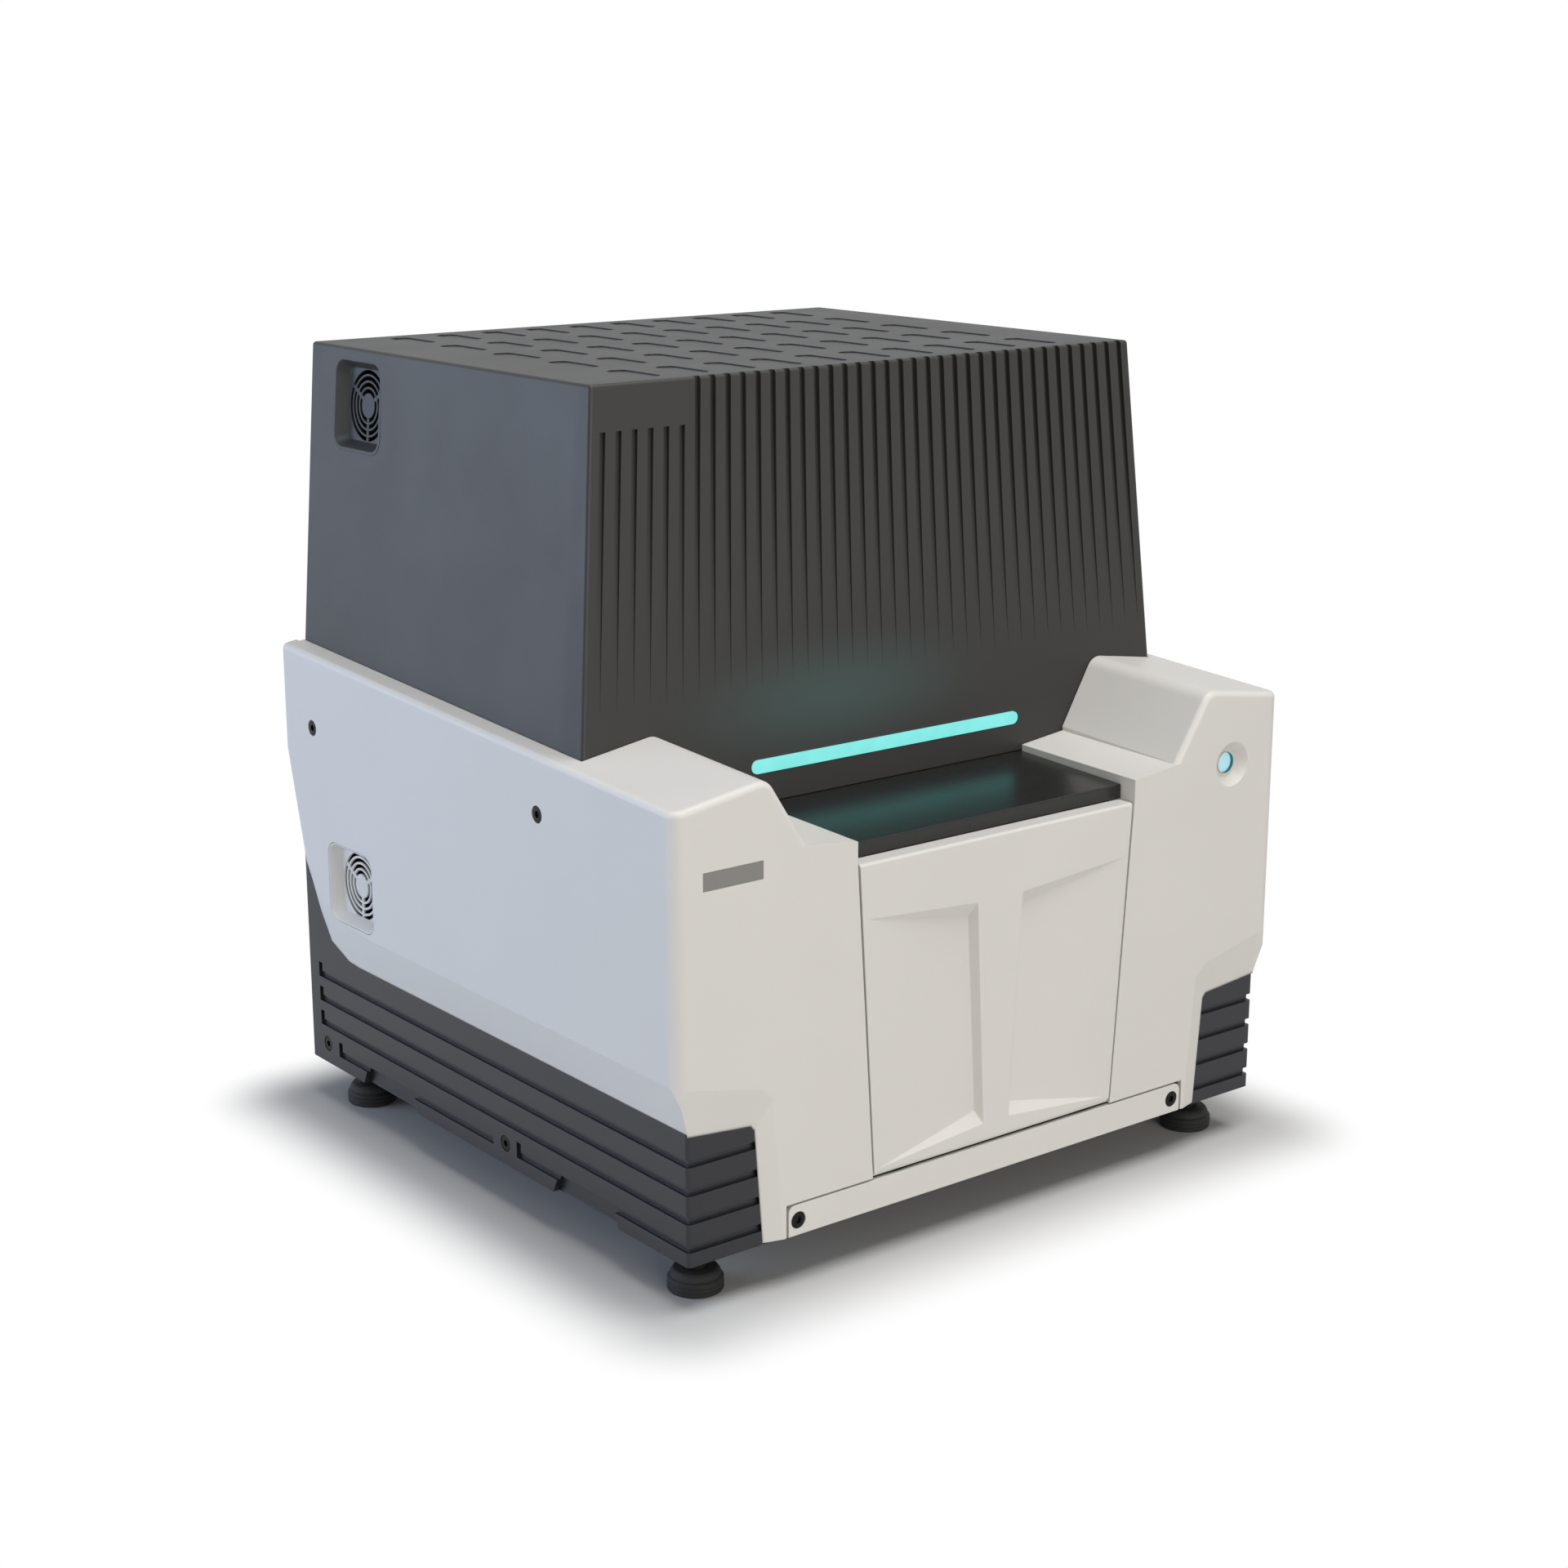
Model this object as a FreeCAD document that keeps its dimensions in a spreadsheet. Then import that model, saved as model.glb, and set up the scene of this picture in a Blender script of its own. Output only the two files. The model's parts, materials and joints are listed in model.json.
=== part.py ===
import FreeCAD, Part
import math
import os
import Sketcher

# Bench instrument for biolayer interferometry, in millimetres.
# +X is the instrument's right, +Y its back, +Z up; the origin is the centre of its footprint.

DOC = FreeCAD.newDocument("interferometry_system")
SHEET = DOC.addObject("Spreadsheet::Sheet", "Dims")
VECTOR = FreeCAD.Vector

# Driving dimensions: name, size, what it measures.
DIMENSIONS = [
    ("base_width", 575.0, "outer width of the dark base"),
    ("base_front", 269.6, "front face of the base, ahead of the origin"),
    ("base_rear", 274.0, "rear face of the base, behind the origin"),
    ("base_bottom", 37.8, "underside of the base above the bench"),
    ("base_wall", 4.0, "wall of the moulded base"),
    ("base_top", 165.0, "top of the base walls under the white shells"),
    ("rear_top", 396.0, "top of the raised rear corners"),
    ("rear_rise", 236.0, "front edge of the raised rear corners"),
    ("groove_width", 6.0, "height of a trim groove"),
    ("groove_depth", 3.0, "depth of a trim groove"),
    ("groove_low", 51.6, "height of the lowest trim groove"),
    ("groove_pitch", 21.5, "height from one trim groove to the next"),
    ("groove_rear", 259.0, "rear end of the upper trim grooves"),
    ("groove_stub", 7.0, "upturned end of a trim groove"),
    ("grip_length", 87.0, "hand grip along the bottom edge"),
    ("grip_rear", 145.5, "middle of the rear hand grip"),
    ("grip_front", 140.5, "middle of the front hand grip"),
    ("grip_rise", 16.4, "height of a hand grip"),
    ("grip_depth", 24.0, "reach of a hand grip into the base"),
    ("plate_thick", 3.0, "steel floor plate"),
    ("foot_radius", 20.75, "rubber pad of a foot"),
    ("foot_height", 17.5, "rubber pad of a foot"),
    ("foot_side", 254.0, "foot off the middle plane"),
    ("foot_front", 232.0, "front foot ahead of the origin"),
    ("foot_rear", 236.4, "rear foot behind the origin"),
    ("stud_radius", 5.0, "threaded stud of a foot"),
    ("nut_flats", 17.0, "across the flats of a lock nut"),
    ("nut_thick", 6.0, "lock nut"),
    ("shell_half", 300.0, "outer face of a white side shell off the middle plane"),
    ("shell_front", 274.0, "front face of the white shells"),
    ("shell_rear", 272.0, "rear edge of the white shells"),
    ("shell_wall", 4.0, "wall of a white shell"),
    ("shell_low", 138.6, "lower edge of a white shell on the base"),
    ("ridge_low", 175.8, "crease above the lower chamfer of a white shell"),
    ("shoulder_front", 372.1, "outer front corner of the shoulder"),
    ("shoulder_inner", 218.0, "inner top edge of the shoulder"),
    ("shoulder_foot", 183.5, "foot of the shoulder's inner slope"),
    ("shelf_inner", 138.5, "inner edge of the shelf beside the deck"),
    ("shelf_front", 325.6, "inner front corner of the shelf"),
    ("shelf_lip", 25.0, "depth of the lip below the shelf"),
    ("leg_inner", 203.0, "inner edge of the front leg"),
    ("leg_bottom", 39.0, "lower edge of the front leg"),
    ("corner_radius", 11.0, "upright front corner of a white shell"),
    ("edge_radius", 5.0, "top edges of a white shell"),
    ("strip_half", 201.0, "half length of the bottom strip"),
    ("strip_top", 62.6, "top of the bottom strip"),
    ("door_bottom", 64.1, "lower edge of the front door"),
    ("door_top", 307.7, "top edge of the front door"),
    ("door_half_top", 135.8, "half width of the door at its top"),
    ("door_half_low", 119.9, "half width of the door at its bottom"),
    ("door_thick", 16.0, "front door"),
    ("door_seam", 2.0, "gap between the door and the shells"),
    ("door_axis", 8.0, "hinge axis from the door's front face and lower edge"),
    ("door_pin_radius", 2.5, "hinge pin of the door"),
    ("knuckle_radius", 4.5, "hinge knuckle of the door"),
    ("knuckle_side", 94.0, "hinge knuckle off the middle plane"),
    ("knuckle_width", 18.0, "hinge knuckle along its pin"),
    ("recess_depth", 10.0, "door panel recess at its inner edge"),
    ("deck_half", 137.5, "half width of the deck cover"),
    ("deck_front", 259.2, "front face of the deck cover"),
    ("deck_back", 135.0, "rear edge of the closed deck cover, ahead of the origin"),
    ("deck_low", 308.7, "underside of the deck cover at its front"),
    ("deck_thick", 10.9, "deck cover"),
    ("runner_side", 126.0, "deck runner off the middle plane"),
    ("runner_width", 8.0, "deck runner"),
    ("runner_depth", 4.0, "deck runner below the deck"),
    ("rail_width", 16.0, "deck rail"),
    ("rail_bottom", 298.0, "underside of the deck rails"),
    ("rail_back", 36.0, "rear end of the deck rails, ahead of the origin"),
    ("hood_top", 643.3, "top of the hood"),
    ("hood_half_top", 262.1, "half width of the hood at its top"),
    ("hood_half_low", 284.3, "half width of the hood at the ledge"),
    ("hood_front_top", 128.4, "front face of the hood at its top"),
    ("hood_front_low", 142.6, "front face of the hood at the ledge"),
    ("hood_rear_top", 270.1, "rear face of the hood at its top"),
    ("hood_rear_low", 268.0, "rear face of the hood at the ledge"),
    ("hood_ledge", 380.0, "height of the ledge beside the hood"),
    ("hood_wall", 4.0, "wall of the hood"),
    ("hood_skirt", 8.0, "hood wall that drops behind the ledge"),
    ("hood_seam", 0.6, "gap between the hood and the shells"),
    ("rib_pitch", 13.55, "pitch of the grooves on the hood front"),
    ("rib_width", 4.0, "groove on the hood front"),
    ("rib_depth", 3.0, "groove on the hood front, at its top"),
    ("rib_fade", 410.0, "height at which the grooves run out"),
    ("rib_short_top", 610.0, "top of the short grooves below the bare panel"),
    ("slot_length", 52.0, "recess in the hood top"),
    ("slot_width", 13.0, "recess in the hood top"),
    ("slot_depth", 2.0, "recess in the hood top"),
    ("slot_pitch_across", 43.2, "pitch of the hood top recesses across"),
    ("slot_pitch_along", 77.5, "pitch of the hood top recesses front to back"),
    ("bar_half", 134.0, "half length of the light bar"),
    ("bar_tall", 10.3, "height of the light bar"),
    ("bar_middle", 352.1, "middle of the light bar"),
    ("bar_sink", 2.0, "depth of the light bar's seat"),
    ("vent_wide", 71.0, "vent recess front to back"),
    ("vent_tall", 66.0, "vent recess height"),
    ("vent_depth", 17.0, "vent recess"),
    ("vent_radius", 12.0, "corner of a vent recess"),
    ("vent_wall", 2.5, "wall of a vent cup"),
    ("upper_vent_y", 193.5, "middle of the upper vent"),
    ("upper_vent_z", 599.0, "middle of the upper vent"),
    ("lower_vent_y", 174.7, "middle of the lower vent"),
    ("lower_vent_z", 213.0, "middle of the lower vent"),
    ("grille_radius", 29.0, "outer edge of a fan grille"),
    ("ring_pitch", 4.7, "pitch of the grille rings"),
    ("ring_slot", 2.7, "width of a grille slot"),
    ("fan_size", 60.0, "fan frame"),
    ("fan_depth", 25.0, "fan frame"),
    ("fan_bore", 28.0, "radius of the fan duct"),
    ("hub_radius", 12.0, "fan hub"),
    ("blade_tip", 26.5, "radius of the fan blades"),
    ("fan_shaft", 2.0, "radius of the fan shaft"),
    ("button_x", 247.0, "power button off the middle plane"),
    ("button_z", 321.0, "height of the power button"),
    ("button_radius", 6.6, "cap of the power button"),
    ("button_travel", 2.0, "travel of the power button"),
    ("ring_radius", 9.2, "outer radius of the lit button ring"),
    ("dish_radius", 18.0, "mouth of the dish around the power button"),
    ("dish_depth", 8.0, "depth of the dish around the power button"),
    ("badge_x", 249.2, "middle of the blank badge off the middle plane"),
    ("badge_z", 320.5, "middle of the blank badge"),
    ("badge_wide", 51.5, "blank badge"),
    ("badge_tall", 13.0, "blank badge"),
    ("badge_thick", 1.5, "blank badge"),
    ("head_radius", 6.4, "head of a cover screw"),
    ("shank_radius", 2.5, "shank of a cover screw"),
    ("shell_screw_z", 336.5, "height of the side shell screws"),
    ("shell_screw_rear", 228.2, "rear side shell screw"),
    ("shell_screw_front", 106.1, "front side shell screw, ahead of the origin"),
    ("base_screw_z", 55.0, "height of the base screws"),
    ("base_screw_rear", 248.7, "rear base screw"),
    ("base_screw_front", 30.9, "front base screw, ahead of the origin"),
    ("strip_screw_x", 192.0, "strip screw off the middle plane"),
    ("strip_screw_z", 50.4, "height of the strip screws"),
    ("bay_half", 126.0, "middle of a bay wall off the middle plane"),
    ("bay_wall", 4.0, "bay wall"),
    ("bay_front", 250.0, "front edge of the bay walls"),
    ("upright_inner", 170.0, "inner face of a gantry upright"),
    ("upright_thick", 6.0, "gantry upright"),
    ("upright_top", 470.0, "top of the gantry uprights"),
    ("upright_front", 10.0, "front edge of an upright, ahead of the origin"),
    ("upright_back", 150.0, "rear edge of an upright"),
    ("beam_front", 60.0, "front face of the gantry beam"),
    ("beam_deep", 40.0, "gantry beam front to back"),
    ("beam_low", 400.0, "underside of the gantry beam"),
    ("beam_tall", 60.0, "gantry beam height"),
    ("linear_wide", 12.0, "width of a linear rail"),
    ("linear_tall", 10.0, "height of a linear rail"),
    ("head_left", 49.5, "first column of wells, left of the middle"),
    ("head_y", 20.0, "middle of the sensor row"),
    ("well_pitch", 9.0, "pitch of the wells"),
    ("carriage_wide", 90.0, "cross carriage"),
    ("head_low", 262.0, "underside of the sensor head"),
    ("head_tall", 38.0, "sensor head"),
    ("tip_low", 215.0, "lower end of a raised sensor tip"),
    ("bed_top", 128.0, "top of the stage bed"),
    ("bed_thick", 8.0, "stage bed"),
    ("bed_half", 110.0, "half width of the stage bed"),
    ("bed_front", 235.0, "front edge of the stage bed"),
    ("bed_back", 165.0, "rear edge of the stage bed"),
    ("stage_rail_side", 62.0, "stage rail off the middle plane"),
    ("stage_y", 145.0, "middle of the parked stage, ahead of the origin"),
    ("stage_half", 80.0, "half width of the stage plate"),
    ("stage_long", 190.0, "stage plate front to back"),
    ("stage_thick", 8.0, "stage plate"),
    ("labware_wide", 127.8, "microplate footprint across"),
    ("labware_long", 85.5, "microplate footprint front to back"),
    ("labware_pitch", 94.0, "microplate to sensor tray"),
    ("plate_tall", 14.4, "microplate height"),
    ("tray_tall", 50.0, "sensor tray height"),
    ("heater_thick", 16.0, "heated shaker block"),
    ("screw_radius", 4.0, "stage leadscrew"),
    ("run_gap", 0.05, "radial clearance of a shaft in its bore"),
    ("slide_gap", 0.3, "clearance of a sliding or loose piece"),
]


class Size:
    """A length together with the sheet formula that gives it."""

    def __init__(self, value, formula):
        self.value = float(value)
        self.formula = formula

    def joined(self, other, sign, value):
        return Size(value, "(" + self.formula + " " + sign + " " + text(other) + ")")

    def __add__(self, other):
        return self.joined(other, "+", self.value + number(other))

    def __sub__(self, other):
        return self.joined(other, "-", self.value - number(other))

    def __mul__(self, other):
        return self.joined(other, "*", self.value * number(other))

    def __truediv__(self, other):
        return self.joined(other, "/", self.value / number(other))

    def __neg__(self):
        return Size(-self.value, "(0 - " + self.formula + ")")

    def __radd__(self, other):
        return Size(number(other) + self.value, "(" + text(other) + " + " + self.formula + ")")

    def __rsub__(self, other):
        return Size(number(other) - self.value, "(" + text(other) + " - " + self.formula + ")")

    __rmul__ = __mul__


def number(size):
    return size.value if isinstance(size, Size) else float(size)


def text(size):
    return size.formula if isinstance(size, Size) else "(" + repr(float(size)) + ")"


class Sheet:
    """The driving dimensions as attributes, one sheet cell and one alias each."""

    def __init__(self, rows):
        for row, (name, value, meaning) in enumerate(rows, start=1):
            SHEET.set("A%d" % row, meaning)
            SHEET.set("B%d" % row, str(value))
            SHEET.setAlias("B%d" % row, name)
            setattr(self, name, Size(value, "Dims." + name))


d = Sheet(DIMENSIONS)
DOC.recompute()
SUB_PARTS = []

# Places that several pieces share.
BASE_HALF = d.base_width / 2
FLOOR_TOP = d.base_bottom + d.base_wall
PLATE_TOP = FLOOR_TOP + d.plate_thick
DECK_SLOPE = 0.0396
SHOULDER_SLOPE = 0.05
SHOULDER_FALL = 0.15
SHELF_SLOPE = 0.025
SHELF_FALL = 0.11
PAD_DIRECTION = {"XY_Plane": "+Z", "XZ_Plane": "-Y", "YZ_Plane": "+X"}
OPPOSITE = {"+": "-", "-": "+"}


def bind(thing, prop, size):
    """Ties a property to the sheet, or sets it where the size is a plain number."""
    if isinstance(size, Size):
        thing.setExpression(prop, size.formula)
    elif prop.startswith("."):
        thing.setExpression(prop, repr(float(size)))
    else:
        setattr(thing, prop, float(size))


def place(thing, corner):
    for axis, size in zip("xyz", corner):
        bind(thing, ".Placement.Base." + axis, size)


def sub_part(thing, label):
    """Names a finished piece, which is then checked and written."""
    thing.Label = label
    SUB_PARTS.append(thing)
    return thing


def new_body(label):
    return DOC.addObject("PartDesign::Body", label)


def origin_feature(body, role):
    return [feature for feature in body.Origin.OriginFeatures if feature.Role == role][0]


class Profile:
    """A sketch on one of a body's origin planes, with every point tied to the sheet."""

    def __init__(self, body, plane, offset=0.0):
        self.body = body
        self.plane = plane
        self.sketch = body.newObject("Sketcher::SketchObject", "Sketch")
        self.sketch.AttachmentSupport = (origin_feature(body, plane), [""])
        self.sketch.MapMode = "FlatFace"
        along = -offset if plane == "XZ_Plane" else offset
        bind(self.sketch, ".AttachmentOffset.Base.z", along)

    def tie(self, kind, geometry, point, size):
        rule = Sketcher.Constraint(kind, -1, 1, geometry, point, number(size))
        index = self.sketch.addConstraint(rule)
        if isinstance(size, Size):
            self.sketch.setExpression("Constraints[%d]" % index, size.formula)

    def tie_point(self, geometry, point, place_2d):
        self.tie("DistanceX", geometry, point, place_2d[0])
        self.tie("DistanceY", geometry, point, place_2d[1])

    def line(self, start, end):
        ends = [VECTOR(number(spot[0]), number(spot[1]), 0) for spot in (start, end)]
        return self.sketch.addGeometry(Part.LineSegment(*ends), False)

    def join(self, first, first_point, second, second_point):
        self.sketch.addConstraint(
            Sketcher.Constraint("Coincident", first, first_point, second, second_point))

    def polygon(self, points):
        count = len(points)
        lines = [self.line(points[i], points[(i + 1) % count]) for i in range(count)]
        for i in range(count):
            self.join(lines[i], 2, lines[(i + 1) % count], 1)
            self.tie_point(lines[i], 1, points[i])
        return self

    def rectangle(self, low, high):
        return self.polygon([low, (high[0], low[1]), high, (low[0], high[1])])

    def circle(self, centre, radius):
        middle = VECTOR(number(centre[0]), number(centre[1]), 0)
        shape = Part.Circle(middle, VECTOR(0, 0, 1), number(radius))
        geometry = self.sketch.addGeometry(shape, False)
        self.tie_point(geometry, 3, centre)
        self.radius(geometry, radius)
        return self

    def radius(self, geometry, size):
        index = self.sketch.addConstraint(Sketcher.Constraint("Radius", geometry, number(size)))
        if isinstance(size, Size):
            self.sketch.setExpression("Constraints[%d]" % index, size.formula)

    def arc(self, centre, radius, start, end):
        middle = VECTOR(number(centre[0]), number(centre[1]), 0)
        circle = Part.Circle(middle, VECTOR(0, 0, 1), number(radius))
        return self.sketch.addGeometry(Part.ArcOfCircle(circle, start, end), False)

    def rounded(self, low, high, radius):
        """A rectangle with four round corners."""
        quarter = math.pi / 2
        left, bottom = low
        right, top = high
        spots = [((left + radius, bottom), (right - radius, bottom)),
                 ((right, bottom + radius), (right, top - radius)),
                 ((right - radius, top), (left + radius, top)),
                 ((left, top - radius), (left, bottom + radius))]
        centres = [(right - radius, bottom + radius), (right - radius, top - radius),
                   (left + radius, top - radius), (left + radius, bottom + radius)]
        lines = [self.line(start, end) for start, end in spots]
        for i, (start, end) in enumerate(spots):
            self.tie_point(lines[i], 1, start)
            self.tie_point(lines[i], 2, end)
        for i, centre in enumerate(centres):
            corner = self.arc(centre, radius, (i - 1) * quarter, i * quarter)
            self.join(corner, 1, lines[i], 2)
            self.join(corner, 2, lines[(i + 1) % 4], 1)
            self.radius(corner, radius)
        return self

    def slot(self, centre, length, width, upright=False):
        """A slot with half-round ends, long in the sketch's first or second direction."""
        across = width / 2
        along = length / 2 - across
        x, y = centre
        half = math.pi / 2
        if upright:
            sides = [((x + across, y - along), (x + across, y + along)),
                     ((x - across, y + along), (x - across, y - along))]
            ends = [((x, y + along), 0.0), ((x, y - along), 2 * half)]
        else:
            sides = [((x - along, y - across), (x + along, y - across)),
                     ((x + along, y + across), (x - along, y + across))]
            ends = [((x + along, y), -half), ((x - along, y), half)]
        lines = [self.line(start, end) for start, end in sides]
        for line, (start, end) in zip(lines, sides):
            self.tie_point(line, 1, start)
            self.tie_point(line, 2, end)
        for i, (middle, turn) in enumerate(ends):
            cap = self.arc(middle, across, turn, turn + 2 * half)
            self.join(cap, 1, lines[i], 2)
            self.join(cap, 2, lines[1 - i], 1)
            kind = "DistanceY" if upright else "DistanceX"
            self.tie(kind, cap, 3, middle[1] if upright else middle[0])
        return self

    def sector(self, inner, outer, start, end):
        """A slot along a ring about the sketch's origin, between two angles in degrees."""
        turns = (math.radians(start), math.radians(end))
        spots = [[(radius * math.cos(turn), radius * math.sin(turn)) for radius in (inner, outer)]
                 for turn in turns]
        first = self.line(*spots[0])
        last = self.line(*reversed(spots[1]))
        self.tie_point(first, 1, spots[0][0])
        self.tie_point(first, 2, spots[0][1])
        self.tie_point(last, 1, spots[1][1])
        self.tie_point(last, 2, spots[1][0])
        wide = self.arc((0, 0), outer, *turns)
        narrow = self.arc((0, 0), inner, *turns)
        self.join(wide, 1, first, 2)
        self.join(wide, 2, last, 1)
        self.join(narrow, 1, first, 1)
        self.join(narrow, 2, last, 2)
        self.radius(wide, outer)
        self.radius(narrow, inner)
        return self


def extrude(kind, profile, length, toward):
    """A pad or pocket of a profile: toward is a signed axis, or both for half each way."""
    feature = profile.body.newObject("PartDesign::" + kind, kind)
    feature.Profile = profile.sketch
    bind(feature, "Length", length)
    if toward == "both":
        feature.SideType = "Symmetric"
        return feature
    default = PAD_DIRECTION[profile.plane]
    if kind == "Pocket":
        default = OPPOSITE[default[0]] + default[1]
    feature.Reversed = toward != default
    return feature


def pad(profile, length, toward):
    return extrude("Pad", profile, length, toward)


def pocket(profile, length, toward):
    return extrude("Pocket", profile, length, toward)


def loft(kind, first, last):
    feature = first.body.newObject("PartDesign::" + kind + "Loft", kind)
    feature.Profile = first.sketch
    feature.Sections = [last.sketch]
    feature.Ruled = True
    return feature


def line_pattern(feature, body, axis, pitch, count):
    pattern = body.newObject("PartDesign::LinearPattern", "Pattern")
    pattern.Originals = [feature]
    pattern.Direction = (origin_feature(body, axis), [""])
    bind(pattern, "Length", pitch * (count - 1))
    pattern.Occurrences = count
    body.Tip = pattern
    return pattern


def grid_pattern(feature, body, axes, pitches, counts):
    pattern = line_pattern(feature, body, axes[0], pitches[0], counts[0])
    pattern.Direction2 = (origin_feature(body, axes[1]), [""])
    bind(pattern, "Length2", pitches[1] * (counts[1] - 1))
    pattern.Occurrences2 = counts[1]
    return pattern


def round_pattern(feature, body, axis, count):
    pattern = body.newObject("PartDesign::PolarPattern", "Ring")
    pattern.Originals = [feature]
    pattern.Axis = (origin_feature(body, axis), [""])
    pattern.Angle = 360
    pattern.Occurrences = count
    body.Tip = pattern
    return pattern


def fillet(body, radius, wanted):
    """Rounds the edges of the body for which wanted(start, end) is true."""
    DOC.recompute()
    names = []
    for index, edge in enumerate(body.Shape.Edges, start=1):
        if len(edge.Vertexes) == 2 and wanted(edge.Vertexes[0].Point, edge.Vertexes[1].Point):
            names.append("Edge%d" % index)
    if not names:
        raise ValueError("no edge to round on " + body.Label)
    tip = body.Tip
    feature = body.newObject("PartDesign::Fillet", "Fillet")
    feature.Base = (tip, names)
    bind(feature, "Radius", radius)
    body.Tip = feature
    return feature


def near(value, target):
    return abs(value - number(target)) < 0.01


def box(low, high):
    solid = DOC.addObject("Part::Box", "Block")
    for prop, start, end in zip(("Length", "Width", "Height"), low, high):
        bind(solid, prop, end - start)
    place(solid, low)
    return solid


AXIS_TURN = {
    "X": FreeCAD.Rotation(VECTOR(0, 1, 0), 90),
    "Y": FreeCAD.Rotation(VECTOR(1, 0, 0), -90),
    "Z": FreeCAD.Rotation(),
}


def cylinder(start, radius, length, axis):
    """A cylinder that runs from start along the positive axis."""
    solid = DOC.addObject("Part::Cylinder", "Round")
    bind(solid, "Radius", radius)
    bind(solid, "Height", length)
    solid.Placement = FreeCAD.Placement(VECTOR(), AXIS_TURN[axis])
    place(solid, start)
    return solid


def cone(start, radius_start, radius_end, length, axis):
    solid = DOC.addObject("Part::Cone", "Taper")
    bind(solid, "Radius1", radius_start)
    bind(solid, "Radius2", radius_end)
    bind(solid, "Height", length)
    solid.Placement = FreeCAD.Placement(VECTOR(), AXIS_TURN[axis])
    place(solid, start)
    return solid


def fuse(solids):
    joined = DOC.addObject("Part::MultiFuse", "Joined")
    joined.Shapes = solids
    joined.Refine = True
    return joined


def cut(base, tools):
    result = DOC.addObject("Part::Cut", "Cut")
    result.Base = base
    result.Tool = tools[0] if len(tools) == 1 else fuse(tools)
    return result


def group(solids):
    """Identical loose pieces that share one node."""
    together = DOC.addObject("Part::Compound", "Group")
    together.Links = solids
    return together


def both_sides(size):
    return (size, -size)


def hood_at(low, top, height):
    """A hood size at a height, on the line from the ledge to the top."""
    return low + (top - low) * ((height - d.hood_ledge) / (d.hood_top - d.hood_ledge))


def hood_outline(height, gap=0.0):
    half = hood_at(d.hood_half_low, d.hood_half_top, height)
    front = hood_at(d.hood_front_low, d.hood_front_top, height)
    rear = hood_at(d.hood_rear_low, d.hood_rear_top, height)
    return half + gap, front + gap, rear + gap


# Dark moulded base with its trim grooves and hand grips.
GRIP_TOP = d.base_bottom + d.grip_rise
SEAT_DEPTH = 2.5
COUNTERBORE = d.head_radius + 0.2
SHANK_HOLE = d.shank_radius + 0.1


def grip_outline(profile, middle):
    half = d.grip_length / 2
    slant = 8.0
    profile.polygon([(middle - half, d.base_bottom - 1), (middle + half, d.base_bottom - 1),
                     (middle + half - slant, GRIP_TOP), (middle - half + slant, GRIP_TOP)])


def trim_groove(profile, height, start, end, stub_end):
    """One level groove, with its rear end turned up."""
    half = d.groove_width / 2
    profile.polygon([(start, height - half), (end, height - half),
                     (end, height + half + stub_end), (end - d.groove_width, height + half + stub_end),
                     (end - d.groove_width, height + half), (start, height + half)])


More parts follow.
